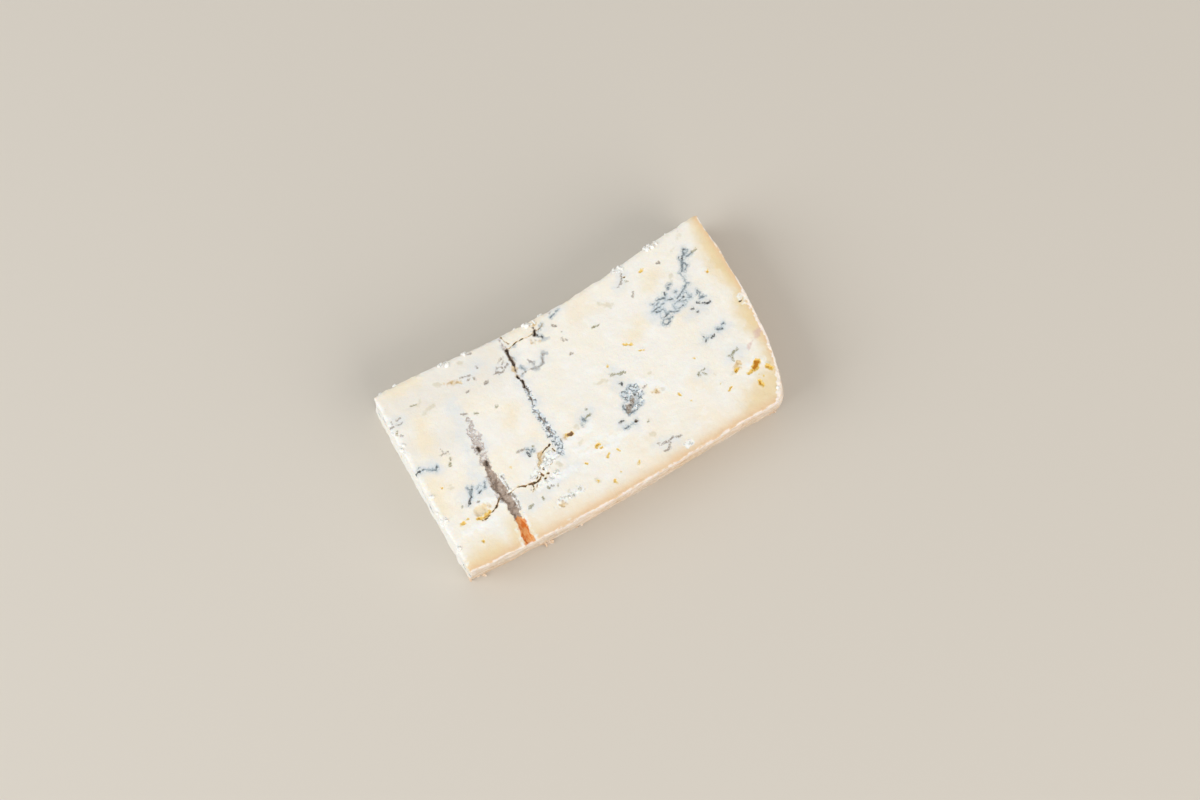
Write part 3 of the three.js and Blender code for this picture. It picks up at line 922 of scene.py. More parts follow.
def stroke_gaps(places, strokes):
    """Distance in millimetres from each place to the nearest stroke's edge, negative inside the stroke."""
    gaps = np.full(len(places), FAR)
    for width, *points in strokes:
        line = np.array(points + points[-1:], float)
        low = line.min(axis=0) - width - REACH
        high = line.max(axis=0) + width + REACH
        near = np.flatnonzero(np.all((places > low) & (places < high), axis=1))
        local = places[near]
        for start, end in zip(line, line[1:]):
            run = end - start
            share = np.clip((local - start) @ run / max(run @ run, TINY), 0, 1)
            off = np.linalg.norm(local - start - np.outer(share, run), axis=1)
            gaps[near] = np.minimum(gaps[near], off - width / 2)
    return gaps


def mark_gaps(places, strokes_by_kind):
    """Distances from the marks of every kind, after small wobbles that make the strokes look grown."""
    points = flat_points(places)
    wobble = np.zeros(places.shape)
    for spacing, shift, seeds in WOBBLES:
        wobble += np.column_stack([lumps(points, spacing, seed) for seed in seeds]) * shift
    wobbled = places + wobble
    ragged = layered(points, RAGGED_EDGES)
    return {
        name: stroke_gaps(wobbled, strokes) + KINDS[name].ragged * ragged
        for name, strokes in strokes_by_kind.items()
    }


def mark_depth(marks, points):
    """How deep the marks dig, in millimetres, with broken raised rims around the sharpest ones."""
    dug = np.zeros(len(points))
    raised = np.zeros(len(points))
    broken = 0.5 + lumps(points, 1.1, seed=51)
    for name, kind in KINDS.items():
        share = smooth_step(-marks[name] / kind.slope)
        if kind.depth > 0:
            dug = np.maximum(dug, kind.depth * share)
        else:
            raised -= kind.depth * share * broken
    gap = np.min([marks[name] for name in RIMMED_KINDS], axis=0)
    rim = smooth_step(gap / RIM_RISE) * smooth_step((RIM_REACH - gap) / RIM_FALL)
    raised += RIM_HEIGHT * rim * (0.5 + lumps(points, 1.3, seed=52))
    dry = smooth_step(marks["orange"] + 0.5)
    rough_floor = 1 + FLOOR_ROUGHNESS * dry * lumps(points, 1.1, seed=53)
    return dug * rough_floor - raised


def top_height(places, sizes):
    """Height of the top face over the foot in millimetres, before any mark digs into it."""
    points = flat_points(places)
    gaps = edge_gaps(places)
    height = HEIGHT + OUTER_RISE * places[:, 0] / FACE_LENGTH
    height += sizes.swell / MM * layered(points, SWELLS)
    height += sizes.grain / MM * layered(points, GRAIN)
    cut_edge = np.clip(cut_gap(gaps), 0, None)
    height -= sizes.edge_wear / MM * np.exp(-((cut_edge / WEAR_WIDTH) ** 2))
    from_rind = np.clip(rind_gap(gaps), 0, None)
    ridge = np.exp(-(((from_rind - RIDGE_INSET) / RIDGE_WIDTH) ** 2))
    ridge *= 0.55 + 0.45 * lumps(points, 4.0, seed=65)
    return height + sizes.lip / MM * ridge


class Ring(NamedTuple):
    """The block's outline as a closed ring of places, with which side each is on and how far along it."""

    places: np.ndarray
    outward: np.ndarray
    side: np.ndarray
    travel: np.ndarray


def outline_ring(pitch):
    """Ring of places along the four sides, with its corners a little softened."""
    places, numbers, travel = [], [], []
    for side_number, side in enumerate(SIDES):
        span = math.dist(side.start, side.end)
        count = round(span / pitch)
        share = np.arange(count) / count
        places.append(side_points(side, share))
        numbers.append(np.full(count, side_number))
        travel.append(share * span)
    places = np.concatenate(places)
    for _ in range(CORNER_ROUNDS):
        places = (np.roll(places, 1, axis=0) + 2 * places + np.roll(places, -1, axis=0)) / 4
    along = np.roll(places, -1, axis=0) - np.roll(places, 1, axis=0)
    outward = np.column_stack([along[:, 1], -along[:, 0]])
    outward /= np.linalg.norm(outward, axis=1)[:, None]
    return Ring(places, outward, np.concatenate(numbers), np.concatenate(travel))


def wall_lean(places, share):
    """How far the walls stand out from the top edge, at a share of the height."""
    gaps = np.clip(edge_gaps(places), 0, None)
    lean = np.zeros_like(places)
    for side_number, side in enumerate(SIDES):
        span = FACE_LENGTH if side.outward[0] else FACE_WIDTH
        near = (1 - gaps[:, side_number] / span) ** CORNER_CURVE
        stand_out = side.flare * (1 - share) ** FLARE_CURVE + side.belly * 4 * share * (1 - share)
        lean += np.outer(near * stand_out, side.outward)
    return lean


def wall_push(points, on_rind, sizes):
    """Roughness of the walls in millimetres outwards: crumbled on the cuts, wrinkled on the rind."""
    crumble = layered(points, CRUMBLE)
    wrinkle = layered(points, WRINKLES) + layered(points * CREASE_SQUASH, CREASES)
    return np.where(on_rind, wrinkle * sizes.rind_wrinkle / MM, crumble * sizes.cut_crumble / MM)


def wandering_stroke(rng, start, steps, stride, width, turn=0.7):
    """A stroke that wanders off from its start."""
    heading = rng.uniform(0, math.tau)
    points = [np.array(start)]
    for _ in range(steps):
        heading += rng.normal(0, turn)
        points.append(points[-1] + stride * np.array([math.cos(heading), math.sin(heading)]))
    return (width, *points)


def hidden_face_strokes(rng, span, high, veined):
    """Veins, pits and cracks at random places on a cut face of the given size, with a share of its veins."""
    strokes = {kind: [] for kind in KINDS}

    def place(margin):
        return rng.uniform((margin, margin), (span - margin, high - margin))

    def draw(kind, start, **shape):
        strokes[kind].append(wandering_stroke(rng, start, **shape))

    for _ in range(round(veined * span * high / VEIN_AREA)):
        centre = place(margin=4)
        draw("bloom", centre, steps=3, stride=2.5, width=rng.uniform(3, 6))
        for _ in range(rng.integers(*VEINS_IN_PATCH)):
            start = centre + rng.normal(0, PATCH_SPREAD, 2)
            kind = rng.choice(("vein", "vein", "vein", "dark", "olive"))
            draw(kind, start, steps=rng.integers(1, 5), stride=1.3, width=rng.uniform(0.4, 0.7))
    for _ in range(round(span * high / PIT_AREA)):
        draw("ochre", place(margin=2), steps=2, stride=rng.uniform(0.2, 1.0), width=rng.uniform(0.5, 1.0))
    for _ in range(round(span / CRACK_SPAN)):
        draw("crack", place(margin=4), steps=9, stride=1.6, width=0.4, turn=0.35)
    for _ in range(round(span * high / PALE_AREA)):
        draw("white", place(margin=3), steps=2, stride=3.0, width=rng.uniform(2, 4))
    return strokes


def spread_places(pitch, rng):
    """Jittered grid of places over the top face, clear of its edges."""
    spans = [np.arange(low, high, pitch) for low, high in zip(FACE_LOW, FACE_HIGH)]
    columns, rows = np.meshgrid(*spans)
    places = np.column_stack([columns.ravel(), rows.ravel()])
    places += rng.uniform(-JITTER, JITTER, places.shape) * pitch
    return places[edge_gaps(places).min(axis=1) > RIM_CLEARANCE]


def top_places(sizes, rng):
    """Places inside the top face, close together beside the sharp marks and further apart elsewhere."""
    sharp_strokes = {name: FACE_STROKES[name] for name in SHARP_KINDS}
    chosen = []
    for pitch, is_fine in ((sizes.fine_pitch / MM, True), (sizes.pitch / MM, False)):
        places = spread_places(pitch, rng)
        marks = mark_gaps(places, sharp_strokes)
        near = np.min(list(marks.values()), axis=0) < FINE_REACH
        chosen.append(places[near == is_fine])
    return np.concatenate(chosen)


def triangles(places, ring_count):
    """Triangles between places, the first of which are the ring round them."""
    outline = list(range(ring_count))
    corners = [Vector(place) for place in places.tolist()]
    _, _, faces, origins, _, _ = delaunay_2d_cdt(corners, [], [outline], INSIDE_ONLY, MERGE_DISTANCE)
    source = [merged[0] for merged in origins]
    return np.array([[source[corner] for corner in face] for face in faces])


class Skin:
    """The block's points and the fields at each of them, gathered part by part."""

    def __init__(self):
        self.points = []
        self.fields = {name: [] for name in (*KINDS, "from_rind", "crumb_share", "flake_share")}

    def add(self, points, marks, **others):
        """Adds points with their distances from the marks and their other fields."""
        self.points.append(points)
        for name, values in {**marks, **others}.items():
            self.fields[name].append(values)


def row_marks(rim_marks, cut_strokes, ring, row, below, at_rim):
    """Distances from the marks on one row of the walls: those that run over the rim, and the cuts' own."""
    marks = {name: gaps + below for name, gaps in rim_marks.items()}
    for side_number, strokes in cut_strokes.items():
        here = ring.side == side_number
        wall_places = np.column_stack([ring.travel, row[:, 2]])[here]
        for name, gaps in mark_gaps(wall_places, strokes).items():
            marks[name][here] = np.minimum(marks[name][here], gaps + WALL_MARK_GAP * at_rim)
        if not at_rim:
            pale = PALE_STEEP * lumps(row[here], 5.0, seed=77) - PALE_LOSS
            marks["white"][here] = np.minimum(marks["white"][here], pale)
    return marks


def add_walls(skin, ring, sizes, rng):
    """Adds the rim and the walls, row by row from the top edge to the foot."""
    on_rind = np.array([side.rind for side in SIDES])[ring.side]
    rim_marks = mark_gaps(ring.places, FACE_STROKES)
    rim_height = top_height(ring.places, sizes)
    rim_depth = mark_depth(rim_marks, flat_points(ring.places))
    rim_from_rind = face_from_rind(ring.places)
    crumb_spots = smooth_step(1 - stroke_gaps(ring.places, CRUMB_SPOTS))
    flake_spots = smooth_step(1 - stroke_gaps(ring.places, FLAKE_SPOTS))
    cut_strokes = {}
    for side_number, side in enumerate(SIDES):
        if side.veined:
            span = math.dist(side.start, side.end)
            cut_strokes[side_number] = hidden_face_strokes(rng, span, HEIGHT, side.veined)
    for share in 1 - (np.arange(sizes.wall_rows + 1) / sizes.wall_rows) ** ROW_CURVE:
        at_rim = share == 1
        level = share * rim_height - rim_depth * share**DENT_CURVE
        below = rim_height - rim_depth - level
        row = np.column_stack([ring.places + wall_lean(ring.places, share), level])
        marks = row_marks(rim_marks, cut_strokes, ring, row, below, at_rim)
        push = wall_push(row, on_rind, sizes)
        if not at_rim:
            push -= np.where(on_rind, 0, mark_depth(marks, row))
        row[:, :2] += ring.outward * np.clip(push, *PUSH_LIMITS)[:, None]
        spots = crumb_spots * smooth_step((CRUMB_DROP - below) / CRUMB_FADE)
        fringe = smooth_step(FRINGE_STEEP * lumps(row, 2.6, seed=78) - FRINGE_LOSS)
        fringe = np.where(on_rind, 0, fringe) * smooth_step(FRINGE_DROP - below)
        skin.add(
            row,
            marks,
            from_rind=np.where(on_rind, -below, rim_from_rind),
            crumb_share=np.maximum(spots, fringe),
            flake_share=flake_spots * smooth_step((FLAKE_RISE - level) / FLAKE_FADE),
        )


def add_top(skin, ring, sizes, rng):
    """Adds the top face inside the rim, and gives its triangles, with the rim's places numbered first."""
    rim = skin.points[0][:, :2]
    places = np.concatenate([rim - INNER_RING * ring.outward, top_places(sizes, rng)])
    marks = mark_gaps(places, FACE_STROKES)
    level = top_height(places, sizes) - mark_depth(marks, flat_points(places))
    skin.add(
        np.column_stack([places, level]),
        marks,
        from_rind=face_from_rind(places),
        crumb_share=smooth_step(1 - stroke_gaps(places, CRUMB_SPOTS)),
        flake_share=np.zeros(len(places)),
    )
    return triangles(np.concatenate([rim, places]), len(rim))


def add_foot(skin, sizes, rng):
    """Adds the flat foot, and gives its triangles, with the places of the lowest row numbered first."""
    lowest = skin.points[sizes.wall_rows][:, :2]
    places = spread_places(FOOT_PITCH, rng)
    places = places[edge_gaps(places).min(axis=1) > FOOT_CLEARANCE]
    skin.add(
        flat_points(places),
        mark_gaps(places, hidden_face_strokes(rng, FACE_LENGTH, FACE_WIDTH, 1.0)),
        from_rind=face_from_rind(places),
        crumb_share=np.zeros(len(places)),
        flake_share=np.zeros(len(places)),
    )
    return triangles(np.concatenate([lowest, places]), len(lowest))


def block_data(sizes):
    """Points in millimetres on the face's axes, faces, and the fields that the material reads."""
    rng = np.random.default_rng(sizes.seed)
    ring = outline_ring(sizes.rim_pitch / MM)
    skin = Skin()
    add_walls(skin, ring, sizes, rng)
    top = add_top(skin, ring, sizes, rng)
    foot_start = sum(len(points) for points in skin.points)
    foot = add_foot(skin, sizes, rng)

    # The walls come first, so the inner places of the top and the foot move up behind them
    count = len(ring.places)
    wall_total = count * (sizes.wall_rows + 1)
    upper = np.arange(wall_total - count)
    after = upper // count * count + (upper + 1) % count
    walls = np.column_stack([upper + count, after + count, after, upper])
    top = np.where(top < count, top, top - count + wall_total)
    foot = np.where(foot < count, foot + wall_total - count, foot - count + foot_start)[:, ::-1]
    faces = [*walls.tolist(), *top.tolist(), *foot.tolist()]
    fields = {name: np.concatenate(parts) for name, parts in skin.fields.items()}
    return np.concatenate(skin.points), faces, fields


def to_part_frame(points):
    """Points in millimetres from the heel as points in metres in the part's frame."""
    low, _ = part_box(NODE)
    heel = np.array([low.x, low.y, low.z]) + np.array([*HEEL_FROM_CORNER, 0.0]) * MM
    return points * MM + heel


class NodeTree:
    """Adds nodes to a tree and feeds them. An input may be a number, a colour or another node's output."""

    def __init__(self, tree):
        self.tree = tree

    def add(self, kind, **settings):
        """Adds a node with the given settings."""
        node = self.tree.nodes.new(kind)
        for name, value in settings.items():
            setattr(node, name, value)
        return node

    def feed(self, socket, value):
        """Sets an input, or links it to another node's output."""
        if isinstance(value, bpy.types.NodeSocket):
            self.tree.links.new(value, socket)
        else:
            socket.default_value = value

    def operate(self, kind, operation, values):
        """Result of an operation on values."""
        node = self.add(kind, operation=operation)
        for socket, value in zip(node.inputs, values):
            self.feed(socket, value)
        return node.outputs[0]

    def math(self, operation, *values):
        """Result of an operation on numbers."""
        return self.operate("ShaderNodeMath", operation, values)

    def vector_math(self, operation, *values):
        """Result of an operation on vectors."""
        return self.operate("ShaderNodeVectorMath", operation, values)

    def centred(self, noise, amount):
        """A noise's colour as a shift of up to half an amount in every direction."""
        shift = self.vector_math("SUBTRACT", noise.outputs["Color"], (0.5, 0.5, 0.5))
        return self.vector_math("MULTIPLY", shift, (amount, amount, amount))


class Graph(NodeTree):
    """Builds a material from nodes. Sizes are in millimetres."""

    # How grains are pushed about, how noise ruffles a field, and how light enters the paste
    WARP_SIZE = 2.0
    WARP_AMOUNT = 1.8
    RUFFLE_GAIN = 5
    SCATTER_RADII = (1.0, 0.8, 0.6)
    SCATTER_DEPTH = 0.9 * MM
    SPECULAR = 0.35

    # Which sockets of a mix node hold colours
    MIX_FIRST = 6
    MIX_SECOND = 7
    MIX_RESULT = 2

    def __init__(self, name):
        self.material = bpy.data.materials.new(name)
        self.material.use_nodes = True
        super().__init__(self.material.node_tree)
        self.tree.nodes.clear()
        self.place = self.add("ShaderNodeTexCoord").outputs["Object"]
        self.relief = 0.0

    def product(self, first, *others):
        """Product of two or more shares."""
        for other in others:
            first = self.math("MULTIPLY", first, other)
        return first

    def stretched(self, along, across, up):
        """Places on which a pattern comes out stretched by these factors."""
        node = self.add("ShaderNodeMapping", vector_type="TEXTURE")
        self.feed(node.inputs["Vector"], self.place)
        node.inputs["Scale"].default_value = (along, across, up)
        return node.outputs[0]

    def noise(self, size, detail, place=None, roughness=0.5):
        """Noise from 0 to 1 with lumps of about one size."""
        node = self.add("ShaderNodeTexNoise")
        self.feed(node.inputs["Vector"], place or self.place)
        node.inputs["Scale"].default_value = 1 / (size * MM)
        node.inputs["Detail"].default_value = detail
        node.inputs["Roughness"].default_value = roughness
        return node.outputs["Fac"]

    def ramp(self, value, start, end):
        """Eased rise from 0 to 1 as a value goes from start to end."""
        node = self.add("ShaderNodeMapRange", interpolation_type="SMOOTHSTEP")
        self.feed(node.inputs["Value"], value)
        node.inputs["From Min"].default_value = start
        node.inputs["From Max"].default_value = end
        return node.outputs["Result"]

    def patches(self, size, detail, levels, **settings):
        """Soft-edged patches where noise rises from one level to another."""
        return self.ramp(self.noise(size, detail, **settings), *levels)

    def grains(self, feature, size, levels):
        """Dots, or outlines of cells, about one size apart, on places pushed about by noise."""
        noise = self.add("ShaderNodeTexNoise")
        self.feed(noise.inputs["Vector"], self.place)
        noise.inputs["Scale"].default_value = 1 / (self.WARP_SIZE * MM)
        cells = self.add("ShaderNodeTexVoronoi", feature=feature)
        shift = self.centred(noise, self.WARP_AMOUNT * MM)
        self.feed(cells.inputs["Vector"], self.vector_math("ADD", shift, self.place))
        cells.inputs["Scale"].default_value = 1 / (size * MM)
        return self.ramp(cells.outputs["Distance"], *levels)

    def field(self, name):
        """One of the mesh's fields."""
        return self.add("ShaderNodeAttribute", attribute_name=name).outputs["Fac"]

    def ruffled(self, name, amount, size):
        """A field in millimetres with its level lines ruffled by noise."""
        noise = self.noise(size, detail=4.0, roughness=0.6)
        spread = self.product(self.math("SUBTRACT", noise, 0.5), self.RUFFLE_GAIN * amount)
        return self.math("ADD", self.field(name), spread)

    def within(self, name, ruffle, edge):
        """Eased rise from 0 to 1 where a field, ruffled by an amount and a size, crosses a mark's edge."""
        return self.ramp(self.ruffled(name, *ruffle), *edge)

    def blend(self, share, first, second, cover=1.0):
        """Two tones blended by a share, which may be cut down to what the second covers at most."""
        node = self.add("ShaderNodeMix", data_type="RGBA")
        self.feed(node.inputs[0], share if cover == 1.0 else self.product(share, cover))
        self.feed(node.inputs[self.MIX_FIRST], first)
        self.feed(node.inputs[self.MIX_SECOND], second)
        return node.outputs[self.MIX_RESULT]

    def lay(self, tone, coat, name, ruffle, edge, cover=1.0):
        """Lays a coat of colour over a tone within the marks of one field."""
        return self.blend(self.within(name, ruffle, edge), tone, coat, cover)

    def raise_by(self, millimetres, share):
        """Adds a share of a height to the bumps."""
        self.relief = self.math("ADD", self.relief, self.product(share, millimetres))

    def finish(self, tone, roughness, subsurface):
        """Joins tone, gloss and bumps to the material's output."""
        shader = self.add("ShaderNodeBsdfPrincipled")
        self.feed(shader.inputs["Base Color"], tone)
        self.feed(shader.inputs["Roughness"], roughness)
        shader.inputs["Subsurface Weight"].default_value = subsurface
        shader.inputs["Subsurface Radius"].default_value = self.SCATTER_RADII
        shader.inputs["Subsurface Scale"].default_value = self.SCATTER_DEPTH
        shader.inputs["Specular IOR Level"].default_value = self.SPECULAR
        bumps = self.add("ShaderNodeBump")
        self.feed(bumps.inputs["Height"], self.relief)
        bumps.inputs["Distance"].default_value = MM
        bumps.inputs["Strength"].default_value = 1.0
        self.feed(shader.inputs["Normal"], bumps.outputs["Normal"])
        output = self.add("ShaderNodeOutputMaterial")
        self.feed(output.inputs["Surface"], shader.outputs["BSDF"])
        return self.material


def plain_paste(graph, colours):
    """Marbled cream paste that turns smooth and tan towards the rind, and cooler around the veins."""
    tone = graph.blend(graph.patches(16, detail=3.0, levels=(0.40, 0.60)), colours.white, colours.cream)
    tone = graph.blend(graph.patches(26, detail=2.0, levels=(0.50, 0.70)), tone, colours.warm)
    tone = graph.blend(graph.patches(4.5, detail=4.0, levels=(0.50, 0.68)), tone, colours.crumb, cover=0.35)
    tone = graph.blend(graph.patches(1.3, detail=3.0, levels=(0.60, 0.72)), tone, colours.crumb, cover=0.4)
    tone = graph.lay(tone, colours.under_rind, "from_rind", ruffle=(1.2, 14.0), edge=(10.0, 0.5))
    # Painted shade: darker, greyer paste at the heart's upper corner
    tone = graph.lay(tone, colours.dull, "dull", ruffle=(1.6, 12.0), edge=(4.0, -8.0), cover=0.7)
    tone = graph.lay(tone, colours.yellow, "warmth", ruffle=(1.2, 10.0), edge=(4.0, -4.0), cover=0.8)
    tone = graph.lay(tone, colours.ripe, "ripe", ruffle=(1.6, 14.0), edge=(5.5, -6.5), cover=0.8)
    # Partly painted shade: the tan flank also darkens a bevelled facet along the outer rind
    tone = graph.lay(tone, colours.ripe, "flank", ruffle=(0.6, 14.0), edge=(10.0, 0.5), cover=0.9)
    tone = graph.lay(tone, colours.rind_edge, "from_rind", ruffle=(0.6, 6.0), edge=(5.0, -0.6))
    tone = graph.lay(tone, colours.blush, "blush", ruffle=(0.4, 2.0), edge=(0.8, -0.6), cover=0.7)
    return graph.lay(tone, colours.bloom, "bloom", ruffle=(1.3, 6.0), edge=(3.0, -3.0), cover=0.85)


def broken_paste(graph, colours, tone):
    """Smears of white paste, and crumbly paste with shaded gaps between its crumbs."""
    # The white marks include the heart's cut edge, partly a painted highlight where the light from the left
    # catches it
    tone = graph.lay(tone, colours.crumb, "white", ruffle=(1.0, 1.6), edge=(0.8, -1.4), cover=0.7)
    crumbly = graph.within("crumbly", ruffle=(0.6, 1.6), edge=(0.7, -0.7))
    tone = graph.blend(crumbly, tone, colours.crumb, cover=0.9)
    outlines = graph.grains("DISTANCE_TO_EDGE", 1.5, levels=(0.16, 0.02))
    gaps = graph.product(outlines, graph.patches(2.2, detail=3.0, levels=(0.46, 0.60)), crumbly)
    graph.raise_by(-0.3, gaps)
    return graph.blend(gaps, tone, colours.crumb_gap, cover=0.35)


def blue_marks(graph, colours, tone):
    """Blooms, veins, threads and dark holes laid over the paste."""
    tone = graph.lay(tone, colours.faint, "faint", ruffle=(0.5, 2.0), edge=(0.7, -0.6), cover=0.36)
    tone = graph.lay(tone, colours.haze, "vein", ruffle=(0.6, 2.4), edge=(1.5, 0.1), cover=0.6)
    tone = graph.lay(tone, colours.haze, "dark", ruffle=(0.5, 1.8), edge=(1.2, 0.1), cover=0.6)
    near = graph.within("vein", ruffle=(0.6, 2.4), edge=(1.6, 0.2))
    halo = graph.product(near, graph.ramp(graph.field("bloom"), -0.8, -3.2))
    tone = graph.blend(halo, tone, colours.bloom_blue, cover=0.65)
    tone = graph.lay(tone, colours.smear, "smear", ruffle=(0.5, 1.6), edge=(0.7, -0.5), cover=0.7)
    net = graph.product(
        graph.grains("DISTANCE_TO_EDGE", 1.3, levels=(0.16, 0.03)),
        graph.patches(1.7, detail=2.0, levels=(0.38, 0.54)),
        graph.within("vein", ruffle=(0.5, 2.0), edge=(1.2, 0.4)),
    )
    tone = graph.blend(net, tone, colours.wash, cover=0.75)
    tone = graph.lay(tone, colours.wash, "vein", ruffle=(0.3, 0.9), edge=(0.45, -0.1), cover=0.7)
    grown = graph.patches(0.6, detail=3.0, levels=(0.38, 0.54), roughness=0.6)
    patchy = graph.math("ADD", 0.35, graph.product(grown, 0.65))
    soft = graph.product(patchy, 0.85)
    tone = graph.lay(tone, colours.thread, "core", ruffle=(0.4, 1.2), edge=(0.4, -0.4), cover=soft)
    tone = graph.lay(tone, colours.olive, "olive", ruffle=(0.35, 0.8), edge=(0.5, -0.3), cover=soft)
    tone = graph.lay(tone, colours.thread, "thread", ruffle=(0.4, 0.8), edge=(0.5, -0.28), cover=soft)
    thick = graph.patches(2.4, detail=2.0, levels=(0.46, 0.68))
    vein = graph.blend(thick, colours.vein, colours.vein_dark)
    tone = graph.lay(tone, vein, "vein", ruffle=(0.25, 0.8), edge=(0.16, -0.22), cover=patchy)
    return graph.lay(tone, colours.vein_dark, "dark", ruffle=(0.25, 0.8), edge=(0.2, -0.22), cover=patchy)


def speckle_marks(graph, colours, tone):
    """Bands of dots and small loops where the paste closed again: blue ones and pinkish brown ones."""
    band = graph.within("speckle", ruffle=(0.4, 1.6), edge=(0.6, -0.4))
    tone = graph.blend(band, tone, colours.bloom_blue, cover=0.8)
    pale = graph.product(band, graph.patches(1.4, detail=2.0, levels=(0.50, 0.62)))
    tone = graph.blend(pale, tone, colours.crumb)
    loops = graph.product(
        graph.patches(1.5, detail=3.0, levels=(0.40, 0.54)),
        graph.grains("DISTANCE_TO_EDGE", 2.1, levels=(0.14, 0.04)),
    )
    dots = graph.product(
        graph.grains("F1", 1.5, levels=(0.34, 0.20)),
        graph.patches(3.2, detail=2.0, levels=(0.38, 0.56)),
    )
    dots = graph.product(band, graph.math("MAXIMUM", dots, loops))
    thick = graph.patches(2.6, detail=2.0, levels=(0.44, 0.60))
    ink = graph.blend(thick, colours.vein, colours.vein_dark)
    tone = graph.blend(dots, tone, ink, cover=0.9)
    graph.raise_by(-0.25, dots)
    scar = graph.within("scar", ruffle=(0.5, 1.8), edge=(0.5, -0.5))
    tone = graph.blend(scar, tone, colours.scar_pale, cover=0.7)
    folds = graph.math(
        "MAXIMUM",
        graph.grains("DISTANCE_TO_EDGE", 1.5, levels=(0.2, 0.04)),
        graph.patches(0.8, detail=3.0, levels=(0.52, 0.62)),
    )
    folds = graph.product(folds, graph.patches(1.7, detail=2.0, levels=(0.36, 0.52)), scar)
    graph.raise_by(-0.3, folds)
    return graph.blend(folds, tone, colours.scar, cover=0.46)


def open_marks(graph, colours, tone):
    """Stains, pits, cracks and the open needle channels."""
    stain = graph.blend(graph.patches(1.5, detail=3.0, levels=(0.42, 0.62)), colours.tan, colours.tan_dark)
    tone = graph.lay(tone, stain, "tan", ruffle=(0.6, 1.8), edge=(0.9, -0.8), cover=0.85)
    tone = graph.lay(tone, colours.hollow, "hollow", ruffle=(0.3, 2.0), edge=(0.3, -0.9), cover=0.7)
    tone = graph.lay(tone, colours.ochre_pale, "ochre", ruffle=(0.25, 0.8), edge=(0.4, -0.3), cover=0.9)
    tone = graph.lay(tone, colours.ochre, "ochre", ruffle=(0.3, 0.8), edge=(-0.5, -1.0))
    tone = graph.lay(tone, colours.tan, "crack", ruffle=(0.2, 1.0), edge=(0.5, -0.1), cover=0.6)
    shallow = graph.patches(2.2, detail=2.0, levels=(0.40, 0.62))
    crack = graph.blend(shallow, colours.crack, colours.crack_pale)
    # Dark floor of the cracks: its own brown, partly painted shade deep in the crack
    tone = graph.lay(tone, crack, "crack", ruffle=(0.14, 0.8), edge=(0.12, -0.16))
    shade = graph.patches(2.0, detail=4.0, levels=(0.44, 0.64))
    floor = graph.blend(shade, colours.channel, colours.channel_dark)
    floor = graph.blend(graph.patches(1.3, detail=3.0, levels=(0.58, 0.72)), floor, colours.channel_pale)
    tone = graph.lay(tone, floor, "channel", ruffle=(0.35, 1.4), edge=(0.2, -0.4))
    streaks = graph.patches(1.6, detail=3.0, levels=(0.38, 0.55), place=graph.stretched(1.0, 3.0, 1.0))
    smear = graph.blend(streaks, colours.orange, colours.orange_pale)
    tone = graph.lay(tone, smear, "orange", ruffle=(0.35, 1.6), edge=(0.3, -0.4))
    tone = graph.lay(tone, colours.thread, "fissure", ruffle=(0.2, 0.9), edge=(0.5, 0.0), cover=0.7)
    lighter = graph.patches(3.0, detail=2.0, levels=(0.42, 0.62))
    slit = graph.blend(lighter, colours.slit, colours.channel_dark)
    # Painted shade deep in the fissure, over its own grey-brown
    return graph.lay(tone, slit, "fissure", ruffle=(0.14, 0.8), edge=(0.1, -0.25))


def rind_skin(graph, colours, tone):
    """Dry, layered tan rind with a dusty bloom, and a broken white-pink painted highlight along its top edge.
    """
    on_rind = graph.within("from_rind", ruffle=(0.2, 2.5), edge=(0.3, -0.3))
    bumpy = graph.noise(2.4, detail=6.0, roughness=0.65)
    layers = graph.noise(2.6, detail=5.0, place=graph.stretched(5.0, 5.0, 1.0), roughness=0.6)
    skin = graph.blend(graph.patches(15.0, detail=3.0, levels=(0.40, 0.60)), colours.rind, colours.rind_grey)
    skin = graph.blend(graph.ramp(layers, 0.50, 0.64), skin, colours.rind_pale, cover=0.55)
    skin = graph.blend(graph.ramp(layers, 0.44, 0.32), skin, colours.rind_dark, cover=0.45)
    skin = graph.blend(graph.ramp(bumpy, 0.50, 0.66), skin, colours.rind_pale, cover=0.5)
    skin = graph.blend(graph.ramp(bumpy, 0.43, 0.30), skin, colours.rind_dark, cover=0.55)
    tone = graph.blend(on_rind, tone, skin)
    graph.raise_by(1.2, graph.product(on_rind, graph.math("SUBTRACT", bumpy, 0.5)))
    graph.raise_by(0.8, graph.product(on_rind, graph.math("SUBTRACT", layers, 0.5)))
    upper = graph.product(on_rind, graph.within("from_rind", ruffle=(3.0, 9.0), edge=(-10.0, -1.0)))
    tone = graph.blend(upper, tone, colours.rind_pale, cover=0.5)
    # Painted highlight: a broken white-pink band across the rind's top edge, where the edge catches the
    # light; the ridge under it is real relief
    edge = graph.ruffled("from_rind", 0.35, 3.0)
    lip = graph.product(
        graph.ramp(edge, 1.0, 0.3),
        graph.ramp(edge, -3.5, -0.5),
        graph.patches(3.5, detail=4.0, levels=(0.38, 0.56)),
    )
    lip = graph.math("MAXIMUM", lip, graph.within("lip", ruffle=(0.45, 1.5), edge=(0.3, -0.3)))
    return graph.blend(lip, tone, colours.lip, cover=0.85)


